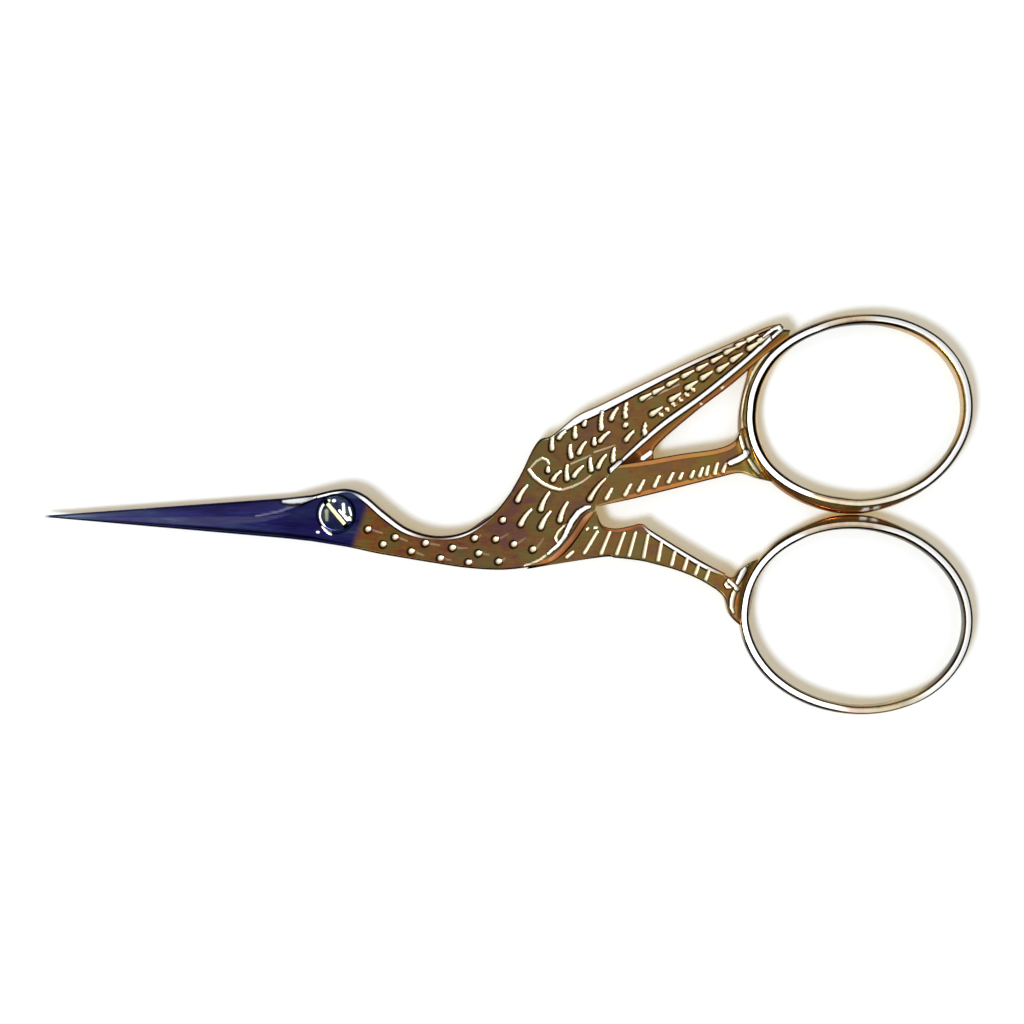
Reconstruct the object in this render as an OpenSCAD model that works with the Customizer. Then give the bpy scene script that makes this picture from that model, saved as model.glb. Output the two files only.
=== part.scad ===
// Stork embroidery scissors, closed.
// Plan view: the beak points to -X, the finger bows to +X, and the front face looks up along +Z.
// The pivot axis is Z, the scissors lie on the plane z = 0, and all sizes are in millimetres.

/* [Blades] */
// Distance from the pivot axis to the tip of the beak
blade_length = 28.3; // [24:0.1:34]
// Width of a blade at its heel, where the straight taper meets the head
heel_width = 3.9; // [3.2:0.1:4.4]
// Width of a blade at its very tip
tip_width = 0.16; // [0.1:0.02:0.4]
// Thickness of a blade at its very tip
tip_thickness = 0.35; // [0.2:0.05:0.6]
// Thickness left on the cutting edge
edge_thickness = 0.06; // [0.04:0.01:0.12]
// Share of the blade's width that the ground bevel takes
grind_share = 0.38; // [0.25:0.01:0.5]
// How far each cutting edge stays inside the other blade's spine
edge_overlap = 0.12; // [0.05:0.01:0.25]

/* [Halves] */
// Thickness of one half in the neck, where the two halves lie on each other
half_thickness = 1.45; // [1.2:0.05:1.7]
// Gap between the halves at the lap
lap_gap = 0.04; // [0.02:0.01:0.08]
// Gap beside each half where the other one gives way to it
side_clearance = 0.12; // [0.08:0.01:0.25]
// Radius of the rounded edges of the bird
edge_radius = 0.35; // [0.15:0.05:0.45]
// Width of the bevel along the wing's leading edge
leading_bevel = 0.9; // [0.5:0.05:1.1]
// Width of the bevel along the wing's trailing edge
trailing_bevel = 0.5; // [0.35:0.05:0.7]
// Width of the bevel where the body curls round over the leg
curl_bevel = 0.7; // [0.4:0.05:0.9]
// Drop of the wide bevels over their width
bevel_drop = 0.3; // [0.2:0.05:0.45]

/* [Pivot] */
// Diameter of the screw's head
head_diameter = 3.5; // [2.8:0.1:4]
// Height of the screw's head
head_height = 0.75; // [0.5:0.05:1.1]
// Depth of the seat that the head sits in
seat_depth = 0.3; // [0.1:0.05:0.5]
// Diameter of the shank that the front half turns on
shank_diameter = 1.8; // [1.4:0.1:2.2]
// Diameter of the thread in the back half
thread_diameter = 1.4; // [1:0.1:1.6]
// Radial running clearance between the shank and its bore
running_clearance = 0.03; // [0.02:0.01:0.06]
// Radial clearance of the thread and of the peened end
thread_clearance = 0.02; // [0.01:0.01:0.04]
// Width of the screwdriver slot
slot_width = 0.45; // [0.3:0.05:0.7]
// Depth of the screwdriver slot
slot_depth = 0.35; // [0.2:0.05:0.5]
// Direction of the slot in the plan, in degrees from +X
slot_angle = -50; // [-90:5:90]

/* [Finger bows] */
// Distance along X from the pivot axis to the centre of the upper bow
bow_reach = 50.55; // [48:0.05:54]
// How much nearer to the pivot the centre of the lower bow is
bow_stagger = 0.3; // [0:0.05:0.6]
// Length of a bow, outside
bow_length = 22.5; // [20:0.1:25]
// Height of a bow, outside
bow_height = 19.3; // [17:0.1:21]
// Turn of the upper bow, in degrees
upper_bow_tilt = 14; // [0:1:20]
// Turn of the lower bow, in degrees
lower_bow_tilt = -8; // [-20:1:0]
// Width of the bow's wire, seen in the plan
wire_width = 1.2; // [1:0.05:1.8]
// Depth of the bow's wire
wire_depth = 2.2; // [1.6:0.05:2.6]
// Gap between the closed bows
bow_gap = 0.1; // [0.06:0.01:0.3]

/* [Wing, tail and leg] */
// Depth of the leg
leg_depth = 2.6; // [2:0.05:2.9]
// Depth of the tail, which is all but flush with the bird's faces
tail_depth = 2.9; // [2.4:0.05:2.9]
// How far the tail's end laps over the near side of the upper bow
tail_lap = 2.9; // [2.5:0.1:3.3]
// Depth of the rim under the wing's trailing edge
rim_depth = 2.0; // [1.4:0.05:2.5]
// Depth of the strut along the upper bow
strut_depth = 1.8; // [1.2:0.05:2.3]
// Depth of the foot that grips the lower bow
foot_depth = 2.3; // [1.6:0.05:2.6]
// Depth of the tail's and the foot's ends, which sink in beside the crest of a bow's wire
root_depth = 1.2; // [0.8:0.05:1.5]
// Width of the grooves cut across the leg and the tail
groove_width = 0.4; // [0.2:0.05:0.6]
// Depth of those grooves
groove_depth = 0.14; // [0.05:0.01:0.25]

/* [Hidden] */
gilt = "#c39a45";
steel = "#8f8fa6";

bird_depth = 2 * half_thickness + lap_gap; // both halves and the gap between them
mid = bird_depth / 2;                      // height of the plane between the halves
far = 80;                                  // past every outline, for cuts that run right through
steps = 5;                                 // points on each stretch of a smooth contour
round_share = 0.293;                       // 1 - cos(45): the middle point of a rounded edge
bevel_share = 0.42;                        // the middle point of a wide bevel, a little proud of flat
hollow_share = 0.54;                       // the middle point of a hollow-ground bevel

// Curves

function unit(v) = v / norm(v);
function lerp(a, b, f) = a + (b - a) * f;

// A Catmull-Rom curve through rows of points, stretch by stretch
function stretch(p, q, r, s, t) =
    0.5 * (2 * q + (r - p) * t + (2 * p - 5 * q + 4 * r - s) * t * t
           + (3 * q - p - 3 * r + s) * t * t * t);
function smooth(rows) =
    let (last = len(rows) - 1)
    [for (i = [0 : last - 1], k = [0 : steps - 1])
        stretch(rows[max(i - 1, 0)], rows[i], rows[i + 1], rows[min(i + 2, last)], k / steps),
     rows[last]];

// The points of an open contour, moved sideways, to the right of its direction for a positive distance
function offset_contour(points, distance) =
    let (last = len(points) - 1)
    [for (i = [0 : last])
        let (along = unit(points[min(i + 1, last)] - points[max(i - 1, 0)]))
        points[i] + distance * [along[1], -along[0]]];

// Sections and skins

// One cross-section from a point u on the upper contour to a point l on the lower one.
// Each edge is [inset across the section, half height of its wall, share for its middle point].
function section(u, l, half_depth, u_edge, l_edge) =
    let (across = unit(l - u))
    concat(edge_points(u, across, half_depth, u_edge, 1),
           edge_points(u, across, half_depth, u_edge, -1, true),
           edge_points(l, -across, half_depth, l_edge, -1),
           edge_points(l, -across, half_depth, l_edge, 1, true));

function edge_points(p, inward, half_depth, edge, side, outwards = false) =
    let (inset = edge[0], wall = edge[1], share = edge[2],
         face = concat(p + inset * inward, [mid + side * half_depth]),
         middle = concat(p + inset * share * inward,
                         [mid + side * (half_depth - share * (half_depth - wall))]),
         rim = concat(p, [mid + side * wall]))
    outwards ? [rim, middle, face] : [face, middle, rim];

// A closed solid through a row of sections
module skin(sections) {
    n = len(sections[0]);
    last = len(sections) - 1;
    end = last * n;
    faces = concat(
        [for (i = [0 : last - 1], k = [0 : n - 1])
            [i * n + k, (i + 1) * n + (k + 1) % n, (i + 1) * n + k]],
        [for (i = [0 : last - 1], k = [0 : n - 1])
            [i * n + k, i * n + (k + 1) % n, (i + 1) * n + (k + 1) % n]],
        [for (k = [0 : n / 2 - 2]) [k + 1, k, n - 1 - k, n - 2 - k]],
        [for (k = [0 : n / 2 - 2]) [end + k, end + k + 1, end + n - 2 - k, end + n - 1 - k]]);
    polyhedron([for (s = sections, p = s) p], faces);
}

// A section of the bird from a row [upper point, lower point, [upper bevel, lower bevel, depth]]
function bird_section(row) =
    let (widest = 0.4 * norm(row[1] - row[0]))
    section(row[0], row[1], row[2][2] / 2,
            bevel(min(row[2][0], widest), row[2][2]), bevel(min(row[2][1], widest), row[2][2]));
function bevel(width, depth) =
    [width, depth / 2 - min(width, bevel_drop), width > edge_radius ? bevel_share : round_share];
function shaped(rows, upper_bevel, lower_bevel, depth) =
    [for (row = rows) [row[0], row[1], [upper_bevel, lower_bevel, depth]]];

// A plate between two contours, with rounded edges, that may run out to another depth at its last row
module plate(rows, depth, end_depth) {
    last = len(rows) - 1;
    ends = [for (i = [0 : last]) i == last && end_depth ? end_depth : depth];
    keys = [for (i = [0 : last]) [rows[i][0], rows[i][1], [edge_radius, edge_radius, ends[i]]]];
    skin([for (row = smooth(keys)) bird_section(row)]);
}

// Finger bows: oval rings of oval wire

function half_height(tilt) =
    norm([bow_length * sin(tilt), bow_height * cos(tilt)]) / 2;
upper_bow = [[bow_reach, bow_gap / 2 + half_height(upper_bow_tilt)], upper_bow_tilt];
lower_bow = [[bow_reach - bow_stagger, -bow_gap / 2 - half_height(lower_bow_tilt)], lower_bow_tilt];

// A point on the wire's centre line, or outside it by the distance out
function bow_point(bow, angle, out = 0) =
    let (a = (bow_length - wire_width) / 2, b = (bow_height - wire_width) / 2,
         normal = unit([b * cos(angle), a * sin(angle)]),
         p = [a * cos(angle), b * sin(angle)] + out * normal,
         c = cos(bow[1]), s = sin(bow[1]))
    bow[0] + [c * p[0] - s * p[1], s * p[0] + c * p[1]];

module bow(bow) {
    around = 64;
    sides = 12;
    points = [for (i = [0 : around - 1], k = [0 : sides - 1])
        let (turn = 360 * k / sides)
        concat(bow_point(bow, 360 * i / around, wire_width / 2 * cos(turn)),
               [mid + wire_depth / 2 * sin(turn)])];
    function at(i, k) = (i % around) * sides + k % sides;
    polyhedron(points, [for (i = [0 : around - 1], k = [0 : sides - 1], half = [0, 1])
        half ? [at(i, k), at(i, k + 1), at(i + 1, k + 1)]
             : [at(i, k), at(i + 1, k + 1), at(i + 1, k)]]);
}

// Contours of the bird, as [point on the upper contour, point on the lower contour]

heel_x = -5.0;
tip = [-blade_length, -0.15];
heel_top = [heel_x, 1.55];
head_and_neck = [
    [[-2.1, 1.9], [-2.3, -2.65]],
    [[-0.2, 2.35], [-0.4, -2.95]],
    [[1.3, 2.4], [1.1, -3.2]],
    [[2.8, 1.8], [2.3, -3.45]],
    [[4.6, 0.3], [3.9, -3.8]],
    [[6.9, -1.35], [6.2, -4.2]],
    [[9.6, -2.1], [9.2, -4.7]],
    [[12.4, -1.7], [12.5, -5.2]],
    [[15.0, -0.1], [15.8, -5.4]]
];
breast_and_back = [
    [[16.7, 1.9], [18.5, -5.15]],
    [[17.9, 4.0], [20.95, -4.6]],
    [[18.9, 6.1], [22.75, -2.95]],
    [[19.7, 7.2], [24.15, -0.95]],
    [[20.9, 7.65], [25.0, 0.45]]
];
wing_outline = [
    [[23.2, 9.5], [25.9, 3.0]],
    [[25.6, 10.65], [27.1, 4.35]],
    [[29.6, 12.6], [31.3, 7.98]],
    [[34.2, 14.8], [35.4, 10.98]],
    [[38.6, 16.75], [39.5, 14.3]],
    [[41.5, 18.05], [42.2, 16.7]],
    [[42.9, 18.4], [43.4, 17.75]]
];
rim_outline = [
    [[26.7, 6.2], [29.0, 5.1]],
    [[29.4, 8.6], [30.9, 6.5]],
    [[33.3, 11.5], [34.7, 9.85]],
    [[36.7, 14.0], [38.2, 12.5]]
];
rim_end = [
    [bow_point(upper_bow, 129, 2.4), bow_point(upper_bow, 139, 0.9)],
    [bow_point(upper_bow, 120, 1.9), bow_point(upper_bow, 129, 0.7)],
    [bow_point(upper_bow, 113.5, 1.4), bow_point(upper_bow, 118, 0.5)]
];
strut = [
    [bow_point(upper_bow, 181, 1.3), bow_point(upper_bow, 183)],
    [bow_point(upper_bow, 172, 1.2), bow_point(upper_bow, 172)],
    [bow_point(upper_bow, 161, 1.15), bow_point(upper_bow, 161)],
    [bow_point(upper_bow, 151, 1.25), bow_point(upper_bow, 151)],
    [bow_point(upper_bow, 143, 1.45), bow_point(upper_bow, 141)],
    [bow_point(upper_bow, 131, 1.5), bow_point(upper_bow, 130)],
    [bow_point(upper_bow, 120, 1.4), bow_point(upper_bow, 120)]
];
tail_outline = [
    [[25.5, 4.4], [24.8, 0.8]],
    [[29.4, 5.1], [28.4, 1.4]],
    [[33.3, 5.8], [33.3, 2.6]],
    [[36.7, 6.3], [36.7, 3.45]],
    [[38.4, 7.0], [39.0, 3.95]],
    [[39.1, 8.2], [40.7, 3.45]],
    [[39.9, 8.4], [42.2, 3.1]]
];
hidden_hip = [
    [[17.8, 0.5], [18.2, -5.2]],
    [[20.2, 0.7], [20.4, -4.8]],
    [[22.6, 0.5], [22.2, -4.45]],
    [[24.5, -0.1], [24.0, -4.25]]
];
leg_outline = [
    [[25.7, -1.05], [25.5, -4.2]],
    [[26.9, -1.4], [27.0, -4.25]],
    [[28.3, -1.2], [28.4, -4.4]],
    [[29.5, -0.95], [29.5, -4.55]],
    [[30.4, -1.55], [30.4, -4.75]],
    [[33.3, -3.35], [32.9, -5.45]],
    [[35.7, -4.75], [35.0, -6.3]],
    [[37.6, -5.75], [36.8, -7.35]]
];
foot_outline = [
    [[36.6, -5.25], [36.0, -6.8]],
    [[38.2, -6.15], [37.4, -7.95]],
    [[39.0, -5.35], [37.9, -9.5]],
    [[40.0, -4.7], [38.6, -10.4]],
    [[41.0, -4.3], [39.8, -11.3]]
];

// Grooves across the leg, as [lower end, upper end]
leg_groove_lines = [
    [[22.3, -4.15], [22.8, -3.7]],
    [[24.0, -3.75], [25.2, -1.75]],
    [[25.6, -3.8], [26.4, -1.85]],
    [[27.1, -3.85], [27.8, -1.9]],
    [[28.3, -4.0], [28.9, -1.85]],
    [[29.7, -4.15], [30.1, -2.1]],
    [[31.1, -4.45], [31.4, -2.8]],
    [[32.4, -4.9], [32.7, -3.7]],
    [[33.6, -5.35], [33.9, -4.35]],
    [[34.7, -5.8], [35.0, -4.95]],
    [[35.7, -6.3], [36.0, -5.5]]
];
// Grooves across the tail, one for each step along it
tail_groove_lines = [for (i = [0 : 9])
    let (low = [26.3, 1.5] + i * [1.25, 0.31])
    [low, low + [0.55 - 0.03 * i, 1.1 - 0.03 * i]]];

// Where the front half's lower layer begins, behind the shoulder
shoulder_front = [16.6, 1.65];
shoulder_back = [25.5, 0.8];

// Wing, tail, leg and foot are carried along with the near side of the bows: not at all at the shoulder,
// and fully from the foot on
carry = bow_reach - bow_length / 2 + tail_lap - tail_outline[len(tail_outline) - 1][1][0];
function carried(p) =
    let (share = (p[0] - shoulder_back[0]) / (foot_outline[0][1][0] - shoulder_back[0]))
    p + [carry * min(1, max(0, share)), 0];
function carried_rows(rows) = [for (row = rows) [carried(row[0]), carried(row[1])]];
wing = carried_rows(wing_outline);
rim = concat(carried_rows(rim_outline), rim_end);
tail = carried_rows(tail_outline);
leg = carried_rows(leg_outline);
foot = carried_rows(foot_outline);
leg_grooves = carried_rows(leg_groove_lines);
tail_grooves = carried_rows(tail_groove_lines);

// Blades

// The section at a share f of the way from the tip to the heel.
// The cutting edge is on the upper contour of the front blade and on the lower one of the back blade.
function blade_section(f, front) =
    let (along = lerp(tip, heel_top, f),
         width = lerp(tip_width, heel_width, f),
         thickness = lerp(tip_thickness, half_thickness, pow(f, 0.7)),
         spine_inset = min(edge_radius, 0.25 * width),
         spine = [spine_inset, lap_gap / 2 + thickness - min(edge_radius, 0.3 * thickness), round_share],
         run_out = min(1, (1 - f) / 0.3),
         ground = [width * lerp(0.3, grind_share, run_out), lap_gap / 2 + edge_thickness, hollow_share],
         top = along - [0, front ? edge_overlap : 0],
         low = along - [0, width - (front ? 0 : edge_overlap)])
    section(top, low, lap_gap / 2 + thickness, front ? ground : spine, front ? spine : ground);

function blade_sections(front) = [for (i = [0 : 10]) blade_section(i / 10, front)];

front_rows = smooth(concat(shaped(head_and_neck, edge_radius, edge_radius, bird_depth),
                           shaped(breast_and_back, edge_radius, curl_bevel, bird_depth),
                           shaped(wing, leading_bevel, trailing_bevel, bird_depth)));
back_rows = smooth(concat(shaped(concat(head_and_neck, hidden_hip), edge_radius, edge_radius, bird_depth),
                          shaped(leg, edge_radius, edge_radius, leg_depth)));

// The halves lap over each other: each gives way where the other one lies

// The lower contour of the front half's body, which the leg comes out from behind
first_curl_row = steps * (len(head_and_neck) - 2);
last_curl_row = steps * (len(head_and_neck) + len(breast_and_back) - 1);
curl_edge = [for (i = [first_curl_row : last_curl_row]) front_rows[i][1]];

module front_lap() {
    translate([0, 0, -far])
        linear_extrude(far + mid + lap_gap / 2)
            polygon([[-far, -far], [shoulder_back[0], -far], shoulder_back,
                     shoulder_front, [shoulder_front[0], far], [-far, far]]);
}

module back_lap() {
    edge = offset_contour(curl_edge, side_clearance);
    last = edge[len(edge) - 1];
    translate([0, 0, mid - lap_gap / 2])
        linear_extrude(far)
            polygon(concat([[-far, -far], [edge[0][0], -far]], edge, [[last[0], far], [-far, far]]));
}

// V grooves in the front and back faces of a plate
module grooves(lines, depth) {
    for (line = lines, face = [0, 1])
        translate([line[0][0], line[0][1], mid])
            mirror([0, 0, face])
                rotate([0, 0, atan2(line[1][1] - line[0][1], line[1][0] - line[0][0])])
                    translate([0, 0, depth / 2])
                        rotate([90, 0, 90])
                            linear_extrude(norm(line[1] - line[0]))
                                polygon([[0, -groove_depth], [groove_width, groove_depth],
                                         [-groove_width, groove_depth]]);
}

module front_half() {
    seat_radius = head_diameter / 2 + running_clearance;
    color(gilt)
    difference() {
        union() {
            bow(upper_bow);
            skin(concat(blade_sections(true), [for (row = front_rows) bird_section(row)]));
            plate(rim, rim_depth);
            plate(strut, strut_depth);
            plate(tail, tail_depth, root_depth);
        }
        front_lap();
        cylinder(d = shank_diameter + 2 * running_clearance, h = far, center = true, $fn = 48);
        translate([0, 0, bird_depth - seat_depth])
            cylinder(r = seat_radius, h = far, $fn = 64);
        grooves(tail_grooves, tail_depth);
    }
}

module back_half() {
    thread_bore = thread_diameter / 2 + thread_clearance;
    color(gilt)
    difference() {
        union() {
            bow(lower_bow);
            skin(concat(blade_sections(false), [for (row = back_rows) bird_section(row)]));
            plate(foot, foot_depth, root_depth);
        }
        back_lap();
        cylinder(r = thread_bore, h = far, center = true, $fn = 48);
        rotate_extrude($fn = 48)
            polygon([[0, -1], [thread_bore + peen_flare, -1], [thread_bore + peen_flare, 0],
                     [thread_bore, peen_depth], [0, peen_depth]]);
        grooves(leg_grooves, leg_depth);
    }
}

// The peened end of the screw fills a countersink in the back half, a little below its face
peen_depth = 0.35;
peen_flare = 0.35;
peen_recess = 0.06;

module pivot_screw() {
    head_r = head_diameter / 2;
    seat_z = bird_depth - seat_depth;
    thread_r = thread_diameter / 2;
    top_z = seat_z + head_height;
    shoulder_z = mid - lap_gap / 2;
    crown = 0.18;
    color(steel)
    difference() {
        rotate_extrude($fn = 64)
            polygon([[0, peen_recess],
                     [thread_r + peen_flare * (1 - peen_recess / peen_depth), peen_recess],
                     [thread_r, peen_depth], [thread_r, shoulder_z],
                     [shank_diameter / 2, shoulder_z], [shank_diameter / 2, seat_z],
                     [head_r, seat_z], [head_r, top_z - 2 * crown],
                     [head_r - 0.3 * crown, top_z - 1.2 * crown],
                     [head_r - crown, top_z - 0.5 * crown],
                     [head_r - 2.6 * crown, top_z], [0, top_z]]);
        rotate([0, 0, slot_angle])
            translate([-head_diameter, -slot_width / 2, top_z - slot_depth])
                cube([2 * head_diameter, slot_width, head_height]);
    }
}

front_half();
back_half();
pivot_screw();
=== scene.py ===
"""Looks of a small pair of stork embroidery scissors, built round its CAD frame.

Every size here is in millimetres until a mesh is written, and the frame is the CAD's own: the pivot
axis is Z, the beak points to -X, the finger bows to +X, and the decorated face looks up along +Z.
"""

import logging
import math
from dataclasses import astuple, dataclass, field, replace
from enum import Enum
from typing import Any, Sequence

import bmesh
import bpy
import numpy as np
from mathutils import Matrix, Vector


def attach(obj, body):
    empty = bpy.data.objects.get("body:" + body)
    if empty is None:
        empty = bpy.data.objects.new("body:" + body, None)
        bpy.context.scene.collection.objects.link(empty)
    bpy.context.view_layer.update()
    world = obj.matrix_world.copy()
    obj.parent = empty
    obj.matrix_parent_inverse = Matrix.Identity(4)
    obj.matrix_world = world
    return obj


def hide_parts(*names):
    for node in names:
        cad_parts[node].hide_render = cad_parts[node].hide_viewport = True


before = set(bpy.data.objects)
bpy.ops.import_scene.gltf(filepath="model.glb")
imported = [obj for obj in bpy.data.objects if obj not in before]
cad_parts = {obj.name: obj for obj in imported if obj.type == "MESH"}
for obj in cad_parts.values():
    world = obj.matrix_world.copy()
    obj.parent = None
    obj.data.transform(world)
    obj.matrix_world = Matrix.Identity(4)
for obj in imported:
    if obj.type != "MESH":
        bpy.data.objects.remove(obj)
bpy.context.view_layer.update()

LOG = logging.getLogger("scissors")
MM = 0.001

Point = tuple[float, float]
# Where a section meets the upper and the lower contour
Span = tuple[Point, Point]
# The two ends of a stroke: x, y, x, y
Stroke = tuple[float, float, float, float]
# The two ends of a tool mark, each with its half width: x, y, r, x, y, r
Mark = tuple[float, float, float, float, float, float]
# The wire of a finger bow at one angle: the angle, how far outside the centre line the facet lies,
# its painted highlight, the darkness of the painted shade line inside it, and how far the outer and
# inner sides reach
Station = tuple[float, float, float, float, float, float]

# The two halves lap: each is HALF thick, with GAP between them, and they lie on z = 0.
HALF = 1.45
GAP = 0.04
DEPTH = 2 * HALF + GAP
MID = DEPTH / 2
LAP_TOP = MID - GAP / 2
LAP_BOTTOM = MID + GAP / 2

# How far a face lies inside another that it would share, as the tail's inside the wing's
HAIR = 0.002

# Points of a mesh that are nearer to each other than this, in metres, are one point
MERGE = 1e-7

# Slope of the flanks of a mark that a graver cut, and of one that stands up
GRAVED = -0.32
RAISED = 0.2
# How far in from its outline a mark shows in full, as a share of its half width
FULL_MARK = 0.4
# How far the painted shadow beside a mark is shifted to the lower left
SHADOW_SHIFT = (0.06, 0.04)


class Part(Enum):
    """The two bodies that the hinge joins."""

    FRONT = "front"
    BACK = "back"

    @property
    def cad_node(self) -> str:
        """The CAD node that this half's pieces stand for."""
        return f"{self.value}_half"


class Trace(Enum):
    """Marks on the metal, each in a mesh attribute for the finish: cuts, some with painted
    highlight, painted highlights, painted shade and the undercoat.
    """

    CUT = "cut"
    SHINE = "shine"
    DARK = "dark"
    COPPER = "copper"


# --- mesh tools


def catmull_rom(keys: np.ndarray, steps: int) -> np.ndarray:
    """Runs a smooth curve through rows of numbers.

    Args:
        keys: One row of numbers for each key section.
        steps: Sections made for each stretch between two keys.

    Returns:
        The finely spaced rows, the last key among them.
    """
    last = len(keys) - 1
    rows = []
    for i in range(last):
        p, q = keys[max(i - 1, 0)], keys[i]
        r, s = keys[i + 1], keys[min(i + 2, last)]
        for t in np.arange(steps) / steps:
            rows.append(
                0.5
                * (
                    2 * q
                    + (r - p) * t
                    + (2 * p - 5 * q + 4 * r - s) * t**2
                    + (3 * q - p - 3 * r + s) * t**3
                )
            )
    rows.append(keys[last])
    return np.array(rows)


def wrapped_sheet(
    name: str,
    points: np.ndarray,
    marks: dict[str, np.ndarray],
    sharp: np.ndarray,
    ring: bool = False,
) -> bpy.types.Object:
    """Bends a flat grid into a closed solid through a block of points.

    Args:
        name: The piece's name.
        points: Positions in mm, shaped sections by points round a section by 3.
        marks: Numbers that the materials read, shaped as points without the last axis.
        sharp: Whole numbers shaped as the marks. An edge between two equal ones above 0 is crisp.
        ring: Whether the last section meets the first, as on a bow. If not, both ends are closed.

    Returns:
        The finished piece, linked to the scene.
    """
    sections, round_count = points.shape[:2]
    along = sections if ring else sections - 1
    bm = bmesh.new()
    bmesh.ops.create_grid(bm, x_segments=along, y_segments=round_count, size=1.0)
    mesh = bpy.data.meshes.new(name)
    bm.to_mesh(mesh)
    bm.free()
    flat = np.zeros(len(mesh.vertices) * 3, np.float32)
    mesh.vertices.foreach_get("co", flat)
    flat = flat.reshape(-1, 3)
    i = np.rint((flat[:, 0] + 1) / 2 * along).astype(int) % sections
    j = np.rint((flat[:, 1] + 1) / 2 * round_count).astype(int) % round_count
    mesh.vertices.foreach_set("co", (points[i, j] * MM).astype(np.float32).ravel())
    for key, values in marks.items():
        mesh.attributes.new(key, "FLOAT", "POINT").data.foreach_set(
            "value", values[i, j].astype(np.float32)
        )
    mesh.attributes.new("arris", "INT", "POINT").data.foreach_set(
        "value", sharp[i, j].astype(np.int32)
    )
    bm = bmesh.new()
    bm.from_mesh(mesh)
    bmesh.ops.remove_doubles(bm, verts=bm.verts, dist=MERGE)
    ends = [e for e in bm.edges if e.is_boundary]
    caps = bmesh.ops.holes_fill(bm, edges=ends, sides=0)["faces"] if ends else []
    bmesh.ops.recalc_face_normals(bm, faces=bm.faces)
    layer = bm.verts.layers.int["arris"]
    for f in bm.faces:
        f.smooth = True
    for e in bm.edges:
        a, b = (v[layer] for v in e.verts)
        e.smooth = not (a > 0 and a == b)
    for f in caps:
        for e in f.edges:
            e.smooth = False
    bm.to_mesh(mesh)
    bm.free()
    piece = bpy.data.objects.new(name, mesh)
    bpy.context.scene.collection.objects.link(piece)
    return piece


@dataclass(frozen=True)
class Relief:
    """Marks of one tool on a face: graver cuts, raised beads, and flat marks of faint engraving,
    undercoat, painted highlight and painted shade.

    Attributes:
        marks: The marks, as tapered bars with round ends.
        slope: Slope of their flanks, above 0 for a bead and below 0 for a cut.
        trace: What the marks leave on the metal.
        tone: How strongly, from 0 to 1.
        rim: How dark the thin line of painted shadow round each mark is.
    """

    marks: Sequence[Mark]
    slope: float
    trace: Trace
    tone: float = 1.0
    rim: float = 0.0

    def press(self, xy: np.ndarray) -> tuple[np.ndarray, np.ndarray, np.ndarray]:
        """Measures the marks at each point.

        Args:
            xy: Points in mm, with the two coordinates on the last axis.

        Returns:
            How far each point is inside the marks' outlines in mm, the same as a share of the half
            width, and how dark the painted shadow round them is there.
        """
        depth = np.zeros(xy.shape[:-1])
        share = np.zeros(xy.shape[:-1])
        line = np.zeros(xy.shape[:-1])
        for x1, y1, r1, x2, y2, r2 in self.marks:
            middle = [(x1 + x2) / 2, (y1 + y2) / 2]
            reach = [abs(x2 - x1) / 2 + 1, abs(y2 - y1) / 2 + 1]
            near = np.all(np.abs(xy - middle) < reach, axis=-1)
            if not near.any():
                continue
            p = xy[near]
            a, d = np.array([x1, y1]), np.array([x2 - x1, y2 - y1])
            t = np.clip(((p - a) @ d) / max(d @ d, 1e-9), 0, 1)
            radius = r1 + (r2 - r1) * t
            away = p - a - t[:, None] * d
            inside = np.clip(1 - np.linalg.norm(away, axis=-1) / radius, 0, 1)
            depth[near] = np.maximum(depth[near], inside * radius)
            share[near] = np.maximum(share[near], inside)
            # the painted shadow is full 1.3 half widths from its shifted middle and ends at 0.6 and
            # 2 half widths
            ring = np.linalg.norm(away + SHADOW_SHIFT, axis=-1) / radius
            line[near] = np.maximum(line[near], np.clip(1.4 - np.abs(ring - 1.3) / 0.5, 0, 1))
        return depth, share, np.where(share > 0.1, 0, line)


# --- forged plates


@dataclass(frozen=True)
class Edge:
    """How the edge of a face is worked.

    Attributes:
        width: How far the work reaches in from the contour.
        drop: How far its outer side lies below the face. Below 0 it is a raised lip.
        corner: Radius of the corner that turns down into the wall.
        shine: How much of it carries a painted highlight.
        copper: How much of it shows the gold's reddish undercoat.
        line: Darkness of the painted shade in the crease between the face and the worked edge.
        shade: Darkness of the painted shade over the whole worked edge.
        outline: Darkness of the painted shade round the corner.
    """

    width: float = 0.3
    drop: float = 0.0
    corner: float = 0.2
    shine: float = 0.0
    copper: float = 0.0
    line: float = 0.0
    shade: float = 0.0
    outline: float = 1.0

    def numbers(self) -> list[float]:
        """The edge as plain numbers."""
        return list(astuple(self))


# A plain edge carries painted shade over its rounded corner
PLAIN = Edge(shade=0.7)
HIDDEN = Edge(0.01, 0.0, 0.004, outline=0.0)


@dataclass(frozen=True)
class Row:
    """One section of a forged plate, from its upper to its lower contour.

    Attributes:
        upper: Where the section meets the upper contour.
        lower: Where it meets the lower contour.
        upper_edge: The worked edge on the upper contour.
        lower_edge: The one on the lower contour.
        top: Height of the front face.
        bottom: Height of the back face.
        under: Radius of the edges round the back face.
        bulge: How far the middle of the section is off the straight line.
    """

    upper: Point
    lower: Point
    upper_edge: Edge = PLAIN
    lower_edge: Edge = PLAIN
    top: float = DEPTH
    bottom: float = 0.0
    under: float = 0.25
    bulge: Point = (0.0, 0.0)

    def numbers(self) -> list[float]:
        """The row as plain numbers, for the curve that runs through the rows."""
        heights = [self.top, self.bottom, self.under]
        edges = [*self.upper_edge.numbers(), *self.lower_edge.numbers()]
        return [*self.upper, *self.lower, *self.bulge, *heights, *edges]


# Where a row's numbers divide: the two contours, the bulge, the heights and the two edges
COLUMNS = (2, 4, 6, 9, 17)

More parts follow.
